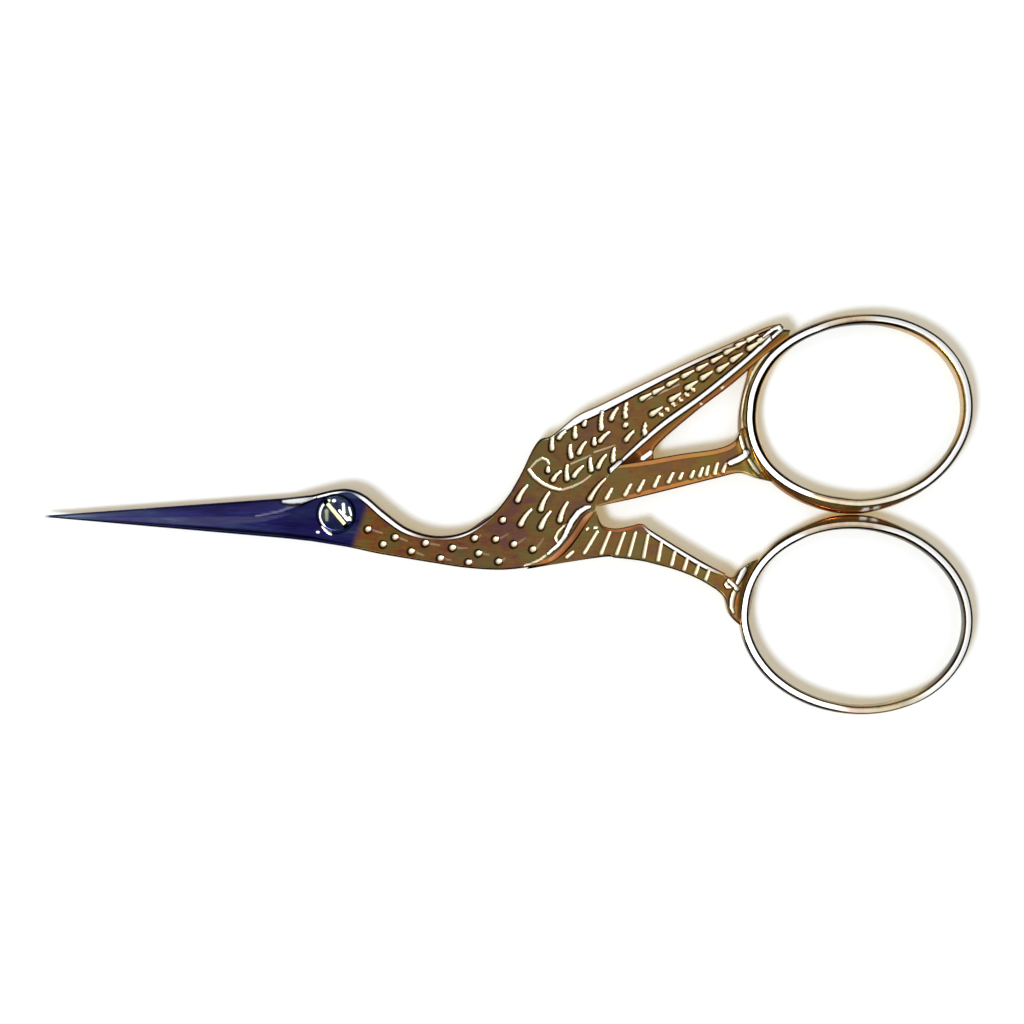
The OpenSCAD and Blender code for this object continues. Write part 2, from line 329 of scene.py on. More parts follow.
# Lines of a worked edge. Round the corner: how far each has turned, in degrees, and the darkness of
# its painted shade
CORNER_LINES = ((90, 0.9), (60, 1.0), (30, 1.0), (8, 0.75))
# Over the band: where its lines start and end, as shares of its width, and how many there are
BAND_START, BAND_END, BAND_LINES = 0.1, 0.88, 8
# At the crease: how far each lies onto the face, and the darkness of its painted shade
CREASE_LINES = ((0.0, 1.0), (0.12, 1.0), (0.21, 0.0))
# Turns of the lines round an unworked back edge, in degrees, and places of those over the back face
BACK_CORNER = (90, 60, 30, 0)
BACK_FACE = (0.15, 0.3, 0.5, 0.7, 0.85)
# A back edge with a smaller radius than this is a crisp arris
ROUNDED = 0.1


@dataclass
class Loop:
    """One lengthwise line of a plate's surface: where it lies in every section, and what it shows.

    Attributes:
        inset: Distance from the upper contour.
        height: Height.
        traces: What it shows for each kind of trace.
        arris: A number above 0 marks a crisp arris; a new one for each line.
        side: 1 on the front face, -1 on the back face and 0 on the walls.
    """

    inset: np.ndarray
    height: np.ndarray
    traces: dict[Trace, np.ndarray]
    arris: np.ndarray
    side: int


@dataclass
class Forging:
    """A plate between two contours, with worked edges and tool marks on its faces.

    Attributes:
        name: The piece's name.
        part: The half that it belongs to.
        rows: Its key sections in order.
        straight: Key sections at the start that are joined by straight lines, as along a blade.
        steps: Sections for each stretch of the rest.
        straight_steps: Sections for each straight stretch.
        across: Points across the front face.
        reliefs: The tool marks.
        both_faces: Whether the back face is worked as the front face is.
        copper: How reddish its faces are.
        skew: How far a bulge leans towards the lower contour.
    """

    name: str
    part: Part
    rows: list[Row]
    straight: list[Row] = field(default_factory=list)
    steps: int = 24
    straight_steps: int = 14
    across: int = 24
    reliefs: list[Relief] = field(default_factory=list)
    both_faces: bool = False
    copper: float = 0.0
    skew: float = 0.0

    def sections(self) -> np.ndarray:
        """Every fine section as one row of numbers."""
        curve = catmull_rom(np.array([r.numbers() for r in self.rows]), self.steps)
        if not self.straight:
            return curve
        keys = np.array([r.numbers() for r in [*self.straight, self.rows[0]]])
        share = np.arange((len(keys) - 1) * self.straight_steps) / self.straight_steps
        lines = np.array([np.interp(share, np.arange(len(keys)), column) for column in keys.T]).T
        return np.vstack([lines, curve])

    def worked_edge(
        self, numbers: np.ndarray, width: np.ndarray, top: np.ndarray, first: int
    ) -> list[Loop]:
        """Makes the lines of a worked edge, from the wall up to the face.

        Args:
            numbers: The edge's eight numbers for each section.
            width: The section's whole width.
            top: Height of the face.
            first: The number of its first arris.

        Returns:
            The lines, with their insets measured from this edge's own contour.
        """
        reach, drop, corner = numbers.T[:3]
        shine, copper, line, shade, outline = np.clip(numbers.T[3:], 0, 1)
        # the lines stay a hair apart where an edge is bare, and two edges never meet
        reach = np.clip(reach, 0.008, 0.42 * width)
        corner = np.clip(corner, 0.004, reach)
        none = np.zeros(len(width))
        flat = none.astype(int)
        lip = drop < 0
        crisp = np.where(corner < 0.01, first + 6, 0)
        rim = top - drop * np.where(lip, 0.35, 1)
        # painted shade down the wall and round the corner
        wall = {Trace.DARK: 0.4 * outline, Trace.COPPER: copper}
        loops = [Loop(none, rim - corner - 0.12, wall, flat, 0)]
        for degrees, dark in CORNER_LINES:
            turn = math.radians(degrees)
            traces = {Trace.DARK: np.maximum(dark * outline, shade), Trace.COPPER: copper}
            arris = crisp if degrees == CORNER_LINES[-1][0] else flat
            inset = corner * (1 - math.sin(turn))
            loops.append(Loop(inset, rim - corner * (1 - math.cos(turn)), traces, arris, 0))
        # the worked band, from its outer to its inner side; a lip swells in its middle
        for f in np.linspace(BAND_START, BAND_END, BAND_LINES):
            swell = math.sin(math.pi * (f - BAND_START) / (BAND_END - BAND_START))
            height = top - drop * np.where(lip, 0.45 + 0.55 * swell, 1 - f)
            dark = (1.13 - 1.28 * f) * shade
            traces = {Trace.DARK: dark, Trace.SHINE: shine, Trace.COPPER: copper}
            loops.append(Loop(corner + f * (reach - corner), height, traces, flat, 1))
        # the crease, drawn as a line of painted shade on the face's side
        bevelled = (reach > corner + 0.05) & (np.abs(drop) > 0.02)
        room = np.clip((0.48 * width - reach) / CREASE_LINES[-1][0], 0.02, 1)
        for extra, dark in CREASE_LINES:
            arris = np.where(bevelled, first, 0) if extra == 0 else flat
            traces = {Trace.DARK: dark * line}
            loops.append(Loop(reach + extra * room, top + none, traces, arris, 1))
        return loops

    def plain_back(
        self, width: np.ndarray, bottom: np.ndarray, under: np.ndarray, tint: np.ndarray
    ) -> list[Loop]:
        """Makes the lines of an unworked back face, from the lower to the upper contour.

        Args:
            width: The section's whole width.
            bottom: Height of the back face.
            under: Radius of the edges round it.
            tint: How reddish it is.

        Returns:
            The lines in order.
        """
        lower, upper = [], []
        # painted shade round the back's rounded corners
        dark = {Trace.DARK: 0.3 * (under > ROUNDED)}
        for degrees in BACK_CORNER:
            turn = math.radians(degrees)
            inset = under * (1 - math.sin(turn))
            height = bottom + under * (1 - math.cos(turn))
            crisp = (under < ROUNDED) & (degrees == 90)
            lower.append(Loop(width - inset, height, dark, np.where(crisp, 6, 0), 0))
            upper.append(Loop(inset, height, dark, np.where(crisp, 5, 0), 0))
        flat = np.zeros(len(width), int)
        face = [
            Loop(width - under - f * (width - 2 * under), bottom, {Trace.COPPER: tint}, flat, -1)
            for f in BACK_FACE
        ]
        return [*lower, *face, *upper[::-1]]

    def loops(self, sections: np.ndarray) -> list[Loop]:
        """Every lengthwise line of the surface, once round the section.

        Args:
            sections: The fine sections.

        Returns:
            The lines in order.
        """
        above, below, _, heights, *edges = np.split(sections, COLUMNS, axis=1)
        width = np.linalg.norm(below - above, axis=1)
        top, bottom, under = heights.T
        under = np.minimum(under, 0.3 * width)
        tint = np.full(len(width), self.copper)
        flat = np.zeros(len(width), int)
        upper, lower = (self.worked_edge(e, width, top, i + 1) for i, e in enumerate(edges))
        for loop in lower:
            loop.inset = width - loop.inset
        start, end = upper[-1].inset, lower[-1].inset
        face = [
            Loop(start + f * (end - start), top, {Trace.COPPER: tint}, flat, 1)
            for f in np.linspace(0, 1, self.across + 2)[1:-1]
        ]
        front = [*upper, *face, *lower[::-1]]
        if not self.both_faces:
            return [*front, *self.plain_back(width, bottom, under, tint)]
        back = []
        for k in front[::-1]:
            arris = np.where(k.arris > 0, k.arris + 2, 0)
            back.append(Loop(k.inset, top + bottom - k.height, k.traces, arris, -k.side))
        return [*front, *back]

    def build(self) -> bpy.types.Object:
        """Lofts the plate, sinks its tool marks and returns the piece."""
        sections = self.sections()
        loops = self.loops(sections)
        upper, lower, bulge = np.split(sections, COLUMNS, axis=1)[:3]
        inset = np.stack([k.inset for k in loops], axis=1)
        z = np.stack([k.height for k in loops], axis=1)
        t = inset / np.linalg.norm(lower - upper, axis=1)[:, None]
        swell = 4 * t * (1 - t) * (1 + self.skew * (2 * t - 1))
        xy = upper[:, None] + (lower - upper)[:, None] * t[..., None]
        xy = xy + bulge[:, None] * swell[..., None]
        side = np.array([k.side for k in loops])
        none = np.zeros(len(sections))
        shown = {
            trace: np.stack([k.traces.get(trace, none) for k in loops], axis=1) for trace in Trace
        }
        worked = side != 0 if self.both_faces else side == 1
        for relief in self.reliefs:
            depth, share, line = relief.press(xy)
            z = z + relief.slope * depth * worked * side
            mark = relief.tone * np.clip(share / FULL_MARK, 0, 1) * worked
            shown[relief.trace] = np.maximum(shown[relief.trace], mark)
            if relief.trace is not Trace.DARK:
                dark = shown[Trace.DARK] * (1 - mark)
                shown[Trace.DARK] = np.maximum(dark, relief.rim * line * worked)
        points = np.concatenate([xy, z[..., None]], axis=2)
        piece = wrapped_sheet(
            self.name,
            points,
            {trace.value: values for trace, values in shown.items()},
            np.stack([k.arris for k in loops], axis=1),
        )
        settle(piece, self.part)
        return piece


def settle(piece: bpy.types.Object, part: Part) -> None:
    """Makes a piece ride on its half and stand for that half's CAD node.

    Args:
        piece: The piece.
        part: The half.
    """
    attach(piece, part.value)
    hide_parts(part.cad_node)


# --- finger bows


@dataclass
class Strand:
    """One line along a bow's wire.

    Attributes:
        out: How far outside the wire's centre line it runs.
        height: Its height over the wire's middle.
        traces: What it shows for each kind of trace.
    """

    out: np.ndarray
    height: float
    traces: dict[Trace, np.ndarray] = field(default_factory=dict)


@dataclass
class FingerBow:
    """An oval ring of forged wire whose crest is a narrow facet, with a painted highlight between
    lines of painted shade.

    Attributes:
        name: The piece's name.
        part: The half that it belongs to.
        centre: The oval's centre.
        tilt: Its turn, in degrees.
        length: Its length along the wire's centre line.
        height: Its height along the wire's centre line.
        stations: The wire's section round the ring.
        wire_depth: The wire's depth.
        facet_width: The facet's width.
        facet_drop: How much lower the facet's outer side is.
        around: Sections round the ring.
        bare: Between which angles the outer side loses most of its painted shade and shows paler
            gold.
        glints: Angles of painted highlights on the outer side, where the bows meet.
    """

    name: str
    part: Part
    centre: Point
    tilt: float
    length: float
    height: float
    stations: list[Station]
    wire_depth: float = 2.2
    facet_width: float = 0.4
    facet_drop: float = 0.085
    around: int = 360
    bare: Point = (0.0, 0.0)
    glints: tuple[float, ...] = ()

    def place(self, angle: float, out: float = 0.0) -> Point:
        """A point beside the wire's centre line.

        Args:
            angle: Place along the oval in degrees.
            out: Distance outside the centre line.

        Returns:
            The point in mm.
        """
        xy = self.line(np.radians([angle]), np.array([[out]]))[0, 0]
        return float(xy[0]), float(xy[1])

    def line(self, turn: np.ndarray, out: np.ndarray) -> np.ndarray:
        """Points at each angle, at its own distances outside the centre line.

        Args:
            turn: The angles in radians.
            out: The distances, one row for each angle.

        Returns:
            The points in mm.
        """
        a, b = self.length / 2, self.height / 2
        normal = np.stack([b * np.cos(turn), a * np.sin(turn)], axis=1)
        normal /= np.linalg.norm(normal, axis=1)[:, None]
        flat = np.stack([a * np.cos(turn), b * np.sin(turn)], axis=1)
        p = flat[:, None] + out[..., None] * normal[:, None]
        c, s = math.cos(math.radians(self.tilt)), math.sin(math.radians(self.tilt))
        x = self.centre[0] + c * p[..., 0] - s * p[..., 1]
        y = self.centre[1] + s * p[..., 0] + c * p[..., 1]
        return np.stack([x, y], axis=2)

    def outer_side(
        self, degrees: np.ndarray, start: np.ndarray, wide: np.ndarray, keys: list[np.ndarray]
    ) -> list[Strand]:
        """Makes the strands of the wire's outer side, from its middle up to the facet.

        Args:
            degrees: The angles round the ring.
            start: Where the side meets the facet's corner.
            wide: How wide the side is, from 0 to 1. A wide one shows copper, as the bows mirror
                each other where they meet.
            keys: The stations' numbers at each angle.

        Returns:
            The strands.
        """
        _, shine, _, outside, _ = keys
        low = self.wire_depth / 2 - self.facet_drop - 0.07
        bare = np.clip(np.minimum(degrees - self.bare[0], self.bare[1] - degrees) / 6, 0, 1)
        spots = [np.clip(1.6 - np.abs(degrees - at), 0, 1) for at in self.glints]
        glint = np.max([np.zeros(self.around), *spots], axis=0)
        strands = []
        for f in (1.0, 0.97, 0.87, 0.65, 0.35):
            cleared = 0.7 if 0.3 < f < 0.9 else 0.25
            spot = glint * (0.3 < f < 0.7)
            # a line of painted shade down the outer side, lighter where it is wide or bare and at
            # the glints
            dark = (1 - cleared * wide) * (0.45 + 0.55 * shine) * (1 - 0.8 * bare) * (1 - spot)
            traces = {
                Trace.DARK: dark,
                Trace.SHINE: spot,
                Trace.COPPER: 0.45 * wide,
                Trace.CUT: 0.25 * bare,
            }
            out = start + f * (outside - start)
            strands.append(Strand(out, low * math.sqrt(1 - f * f), traces))
        return strands

    def inner_side(
        self, start: np.ndarray, gold: np.ndarray, keys: list[np.ndarray]
    ) -> list[Strand]:
        """Makes the strands of the wire's inner side, from the facet down to its middle.

        Args:
            start: Where the side meets the facet's corner.
            gold: How much of the side is far enough from the facet's line to lose its painted shade
                and show a warm painted reflection.
            keys: The stations' numbers at each angle.

        Returns:
            The strands.
        """
        _, _, line, _, inside = keys
        high = self.wire_depth / 2 - 0.06
        strands = []
        for f in (0.3, 0.55, 0.75, 0.9, 0.98, 1.0):
            dark = line * (1 if f < 0.4 else 1 - gold) + (0.2 if f > 0.95 else 0)
            traces = {
                Trace.DARK: np.clip(dark, 0, 1),
                Trace.COPPER: 0.3 * gold,
                Trace.CUT: 0.25 * gold * (f > 0.4),
            }
            out = start - f * (start - inside)
            strands.append(Strand(out, high * math.sqrt(1 - f * f), traces))
        return strands

    def strands(self, degrees: np.ndarray) -> list[Strand]:
        """Every strand, once round the wire.

        Args:
            degrees: The angles round the ring.

        Returns:
            The strands in order.
        """
        at, *numbers = np.array(self.stations).T
        keys = [np.interp(degrees, at, number, period=360) for number in numbers]
        middle, shine, line, outside, inside = keys
        outer, inner = middle + self.facet_width / 2, middle - self.facet_width / 2
        top = self.wire_depth / 2
        low = top - self.facet_drop
        wide = np.clip((outside - middle - 0.5) / 0.35, 0, 1)
        gold = np.clip((inner - 0.34 - inside) / 0.15, 0, 1)
        # painted shade along both sides of the facet, whose painted highlight follows
        corner = {Trace.DARK: 0.3 + 0.7 * shine}
        front = [
            *self.outer_side(degrees, outer + 0.12, wide, keys),
            Strand(outer + 0.12, low - 0.07, corner),
            Strand(outer + 0.04, low - 0.01, corner),
            Strand(outer, low, {Trace.SHINE: shine}),
            Strand(middle, (low + top) / 2, {Trace.SHINE: shine}),
            Strand(inner, top, {Trace.SHINE: shine}),
            Strand(inner - 0.04, top - 0.01, {Trace.DARK: line}),
            Strand(inner - 0.14, top - 0.06, {Trace.DARK: line}),
            *self.inner_side(inner - 0.14, gold, keys),
        ]
        return front + [Strand(k.out, -k.height, k.traces) for k in front[-2:0:-1]]

    def build(self) -> bpy.types.Object:
        """Sweeps the wire round the oval and returns the piece."""
        degrees = np.arange(self.around) / self.around * 360
        strands = self.strands(degrees)
        out = np.stack([k.out for k in strands], axis=1)
        z = np.zeros(out.shape) + [MID + k.height for k in strands]
        points = np.concatenate([self.line(np.radians(degrees), out), z[..., None]], axis=2)
        none = np.zeros(self.around)
        marks = {
            trace.value: np.stack([k.traces.get(trace, none) for k in strands], axis=1)
            for trace in Trace
        }
        piece = wrapped_sheet(self.name, points, marks, np.zeros(out.shape, int), ring=True)
        settle(piece, self.part)
        return piece


# --- the bird


@dataclass
class Blade:
    """Sizes of one blade, for the straight rows of its half.

    Attributes:
        tip: The tip of the upper contour.
        heel: Where the upper contour meets the head.
        tip_width: Width at the tip.
        heel_width: Width at the heel.
        tip_thickness: Thickness at the tip.
        grind: Share of the width that the ground bevel takes along the blade.
        heel_grind: The same at the heel.
        heel_share: Share of the blade's length over which the one gives way to the other.
        fullness: Power by which the thickness grows from the tip. Below 1 it grows early.
        spine: Radius of the spine.
        overlap: How far the cutting edge stays inside the other blade's spine.
        edge: Thickness left on the cutting edge.
        stations: Straight stretches.
    """

    tip: Point = (-28.3, -0.15)
    heel: Point = (-5.0, 1.55)
    tip_width: float = 0.16
    heel_width: float = 3.9
    tip_thickness: float = 0.35
    grind: float = 0.38
    heel_grind: float = 0.3
    heel_share: float = 0.3
    fullness: float = 0.7
    spine: float = 0.22
    overlap: float = 0.12
    edge: float = 0.06
    stations: int = 10

    def rows(self, part: Part) -> list[Row]:
        """The blade's sections from tip to heel.

        Args:
            part: The half. The front half's cutting edge is on its upper contour.

        Returns:
            The rows, as the CAD has them.
        """
        rows = []
        for f in np.linspace(0, 1, self.stations + 1):
            x, y = (a + (b - a) * f for a, b in zip(self.tip, self.heel))
            width = self.tip_width + (self.heel_width - self.tip_width) * f
            thick = self.tip_thickness + (HALF - self.tip_thickness) * f**self.fullness
            from_heel = min(1, (1 - f) / self.heel_share)
            grind = self.heel_grind + (self.grind - self.heel_grind) * from_heel
            spine = min(self.spine, 0.25 * width, 0.3 * thick)
            if part is Part.FRONT:
                contours = (x, y - self.overlap), (x, y - width)
                # painted shade over the ground bevel and along the lower edge
                bevel = Edge(width * grind, thick - self.edge, 0.02, shade=0.6)
                edges = bevel, Edge(spine + 0.1, 0.0, spine, shade=0.9)
                rows.append(Row(*contours, *edges, LAP_BOTTOM + thick, LAP_BOTTOM, 0.02))
            else:
                contours = (x, y), (x, y - width + self.overlap)
                rows.append(Row(*contours, HIDDEN, HIDDEN, LAP_TOP, LAP_TOP - thick, spine))
        return rows


HEAD_AND_NECK: list[Span] = [
    ((-2.1, 1.9), (-2.3, -2.65)),
    ((-0.2, 2.35), (-0.4, -2.95)),
    ((1.3, 2.4), (1.1, -3.2)),
    ((2.8, 1.8), (2.3, -3.45)),
    ((4.6, 0.3), (3.9, -3.8)),
    ((6.9, -1.35), (6.2, -4.2)),
    ((9.6, -2.1), (9.2, -4.7)),
    ((12.4, -1.7), (12.5, -5.2)),
    ((15.0, -0.1), (15.8, -5.4)),
]
# Slope of a burnished bevel: so flat that it shines white from above
BURNISHED = 0.13
# Width and shine of the crest's bevel that runs over the head and down the neck; the shine is a
# painted highlight
CREST: list[Point] = [
    (0.4, 0.9), (0.4, 1.0), (0.3, 0.15), (0.6, 1.0), (0.66, 1.0), (0.52, 0.9), (0.32, 0.15),
    (0.38, 0.8), (0.24, 0.1),
]
# The same of the bevel along the wing's leading edge
LEADING: list[Point] = [
    (0.78, 1.0), (0.8, 1.0), (0.64, 1.0), (0.46, 0.8), (0.38, 0.3), (0.3, 0.15), (0.26, 0.1),
]
BREAST: list[Span] = [
    ((16.7, 1.9), (18.5, -5.15)),
    ((17.9, 4.0), (20.95, -4.6)),
    ((18.9, 6.1), (22.75, -2.95)),
    ((19.7, 7.2), (24.15, -0.95)),
    ((20.9, 7.65), (25.0, 0.45)),
]
WING: list[Span] = [
    ((23.2, 9.5), (25.9, 3.0)),
    ((25.6, 10.65), (27.1, 4.35)),
    ((29.6, 12.6), (31.3, 7.98)),
    ((34.2, 14.8), (35.4, 10.98)),
    ((38.6, 16.75), (39.5, 14.3)),
    ((41.5, 18.05), (42.2, 16.7)),
    ((42.9, 18.4), (43.4, 17.75)),
]
TAIL: list[Span] = [
    ((25.0, 4.3), (24.3, 0.55)),
    ((29.4, 5.1), (28.4, 1.4)),
    ((33.3, 5.8), (33.3, 2.6)),
    ((36.7, 6.3), (36.7, 3.45)),
    ((38.4, 7.0), (39.0, 3.95)),
    ((39.1, 8.2), (40.7, 3.45)),
    ((39.9, 8.4), (42.2, 3.1)),
]
LEG: list[Span] = [
    ((25.7, -1.05), (25.5, -4.2)),
    ((26.9, -1.4), (27.0, -4.25)),
    ((28.3, -1.2), (28.4, -4.4)),
    ((29.5, -0.95), (29.5, -4.55)),
    ((30.4, -1.55), (30.4, -4.75)),
    ((33.3, -3.35), (32.9, -5.45)),
    ((35.7, -4.75), (35.0, -6.3)),
    ((37.6, -5.75), (36.8, -7.35)),
]


def path(points: Sequence[Sequence[float]]) -> list[Mark]:
    """A line of marks that join end to end through points of x, y and half width."""
    return [(*a, *b) for a, b in zip(points, points[1:])]


def arc(centre: Point, radius: float, degrees: Sequence[float], half_width: float) -> list[Mark]:
    """A line of marks along an arc.

    Args:
        centre: The arc's centre.
        radius: Its radius.
        degrees: The angles at which two marks join.
        half_width: Half width of the marks.

    Returns:
        The marks.
    """
    x, y = centre
    turns = np.radians(degrees)
    return path([(x + radius * math.cos(a), y + radius * math.sin(a), half_width) for a in turns])


def bars(ends: Sequence[Stroke], r1: float, r2: float) -> list[Mark]:
    """Straight tapered marks.

    Args:
        ends: The two ends of each mark.
        r1: Half width at the first end.
        r2: Half width at the second end.

    Returns:
        The marks.
    """
    return [(x1, y1, r1, x2, y2, r2) for x1, y1, x2, y2 in ends]


def commas(ends: Sequence[Stroke], thin: float, fat: float) -> list[Mark]:
    """Curved marks that swell from a thin upper to a fat lower end, as a rolled graver leaves.

    Args:
        ends: The thin and the fat end of each mark.
        thin: Half width at the thin end.
        fat: Half width at the fat end.

    Returns:
        The short bars that make the marks.
    """
    marks = []
    share = np.linspace(0, 1, 5)
    for x1, y1, x2, y2 in ends:
        length = math.hypot(x2 - x1, y2 - y1)
        swell = 0.2 * length * share * (1 - share)
        x = x1 + (x2 - x1) * share - swell
        y = y1 + (y2 - y1) * share + 0.4 * swell
        r = thin + (fat - thin) * share
        marks += path(np.stack([x, y, r], axis=1).tolist())
    return marks


# Plumage. Each drop on the neck is a bright dot whose faint tail runs off to the right.
NECK_DROPS: list[Stroke] = [
    (3.1, -1.46, 4.46, -1.84), (4.56, -2.91, 4.95, -3.01), (5.72, -2.23, 6.89, -2.62),
    (7.28, -3.59, 8.44, -3.98), (8.63, -2.81, 9.99, -3.01), (10.09, -4.27, 11.06, -4.46),
    (11.25, -3.25, 12.61, -3.3), (13.39, -2.33, 13.97, -2.04), (13.77, -3.78, 14.74, -3.93),
    (12.8, -4.66, 13.19, -4.75), (15.42, -2.43, 16.59, -1.94), (15.71, -4.56, 16.3, -4.27),
    (16.1, -0.58, 16.39, -0.48), (17.17, -2.91, 18.24, -2.33), (19.01, -3.4, 19.98, -2.43),
]
BREAST_COMMAS: list[Stroke] = [
    (18.43, 2.72, 17.56, 1.36), (20.56, 2.04, 19.79, 0.48), (22.31, 1.07, 21.63, -0.58),
    (18.82, 0.39, 17.85, -0.97), (20.66, 0.19, 19.79, -1.26),
]
# The breast's last comma runs out over the tail
TAIL_COMMA: Stroke = (26.0, 3.4, 24.54, 1.46)
WING_COMMAS: list[Stroke] = [
    (20.95, 7.57, 20.86, 6.31), (22.12, 7.95, 21.53, 7.37), (23.09, 8.34, 23.09, 7.47),
    (24.06, 8.92, 23.96, 8.63), (25.71, 9.8, 25.61, 8.25), (27.16, 10.19, 26.58, 9.21),
    (22.6, 6.6, 22.7, 5.53), (24.06, 6.89, 23.47, 5.92), (24.93, 7.28, 24.93, 6.79),
    (26.29, 7.86, 25.51, 7.08), (24.54, 5.33, 24.64, 4.27), (26.0, 5.63, 25.32, 4.56),
    (26.87, 6.31, 26.77, 5.14), (22.31, 4.66, 22.31, 3.4), (21.63, 4.07, 20.95, 3.3),
    (23.77, 4.56, 22.99, 3.69), (28.03, 10.67, 27.94, 9.41), (27.94, 8.73, 27.94, 8.54),
    (28.71, 7.95, 28.03, 7.18), (29.88, 8.73, 29.78, 7.76), (20.47, 4.46, 20.47, 4.17),
]
SHOULDER_SCROLL = path([
    (18.62, 4.27, 0.16), (19.11, 3.59, 0.16), (19.98, 2.91, 0.15), (20.86, 2.52, 0.14),
    (21.6, 2.35, 0.14),
])
FAINT_SCROLL = path([
    (21.5, 2.36, 0.13), (21.82, 2.33, 0.13), (22.8, 2.62, 0.13), (23.77, 3.1, 0.12),
    (24.54, 3.69, 0.1),
]) + path([
    (18.75, 4.45, 0.12), (19.3, 5.05, 0.14), (19.85, 5.38, 0.14), (20.35, 5.2, 0.13),
    (20.55, 4.8, 0.12),
])
SHOULDER_HATCH = bars(
    [(24.93, 5.97, 26.87, 6.6), (22.7, 4.85, 24.54, 5.63), (29.4, 10.8, 33.1, 12.5)], 0.13, 0.11
)


def flight_feathers() -> list[Mark]:
    """Two rows of long drops and a row of barbs that follow the wing out to its tip."""
    upper = [
        (29.47, 11.3), (30.68, 11.91), (32.06, 12.68), (33.51, 13.48), (34.94, 14.19),
        (36.35, 14.95), (37.6, 15.75), (38.7, 16.4), (39.75, 16.95),
    ]
    lower = [
        (30.53, 9.68), (32.38, 11.06), (33.92, 12.2), (35.38, 13.14), (36.99, 13.95), (38.29, 14.9),
        (39.9, 16.0), (40.87, 16.7),
    ]
    marks = [(x + 0.06, y - 0.16, 0.24, x + 0.95, y + 0.32, 0.1) for x, y in upper]
    marks += [(x, y, 0.27, x + 0.85, y + 0.56, 0.12) for x, y in lower]
    barbs = [(31.25 + 0.62 * i, 9.7 + 0.48 * i) for i in range(6)]
    return marks + [(x, y, 0.15, x + 0.22, y - 0.2, 0.14) for x, y in barbs]


LEG_BARS = bars(
    [
        (22.3, -4.15, 22.8, -3.7), (24.0, -3.75, 25.2, -1.75), (25.6, -3.8, 26.4, -1.85),
        (27.1, -3.85, 27.8, -1.9), (28.3, -4.0, 28.9, -1.85), (29.7, -4.15, 30.1, -2.1),
        (31.1, -4.45, 31.4, -2.8), (32.4, -4.9, 32.7, -3.7), (33.6, -5.35, 33.9, -4.35),
        (34.7, -5.8, 35.0, -4.95), (35.7, -6.3, 36.0, -5.5),
    ],
    0.18,
    0.15,
)
TAIL_BARS = bars(
    [
        (26.1, 1.5, 26.6, 2.4), (27.9, 1.85, 28.4, 2.8), (29.2, 2.25, 29.7, 3.2),
        (30.75, 2.7, 31.15, 3.6), (32.1, 3.1, 32.5, 3.9), (33.2, 3.45, 33.4, 3.9),
        (34.3, 3.6, 34.5, 4.1), (35.1, 3.7, 35.35, 4.4), (35.75, 3.85, 35.9, 4.55),
        (36.55, 3.95, 36.8, 4.85), (37.35, 4.15, 37.65, 4.85),
    ],
    0.19,
    0.14,
)


def pairs(
    ends: Sequence[Span],
    upper: Edge | Sequence[Edge],
    lower: Edge | Sequence[Edge],
    **sizes: float | Point,
) -> list[Row]:
    """Rows from pairs of points.

    Args:
        ends: The ends of each section.
        upper: The worked edge on the upper contour, or one for each row.
        lower: The same on the lower contour.
        sizes: The other sizes, the same in every row.

    Returns:
        The rows in order.
    """
    count = len(ends)
    uppers = [upper] * count if isinstance(upper, Edge) else upper
    lowers = [lower] * count if isinstance(lower, Edge) else lower
    return [Row(u, low, a, b, **sizes) for (u, low), a, b in zip(ends, uppers, lowers)]


def centred(depth: float) -> dict[str, float]:
    """Heights of both faces of a plate whose middle is the wire's."""
    return {"top": MID + depth / 2, "bottom": MID - depth / 2}


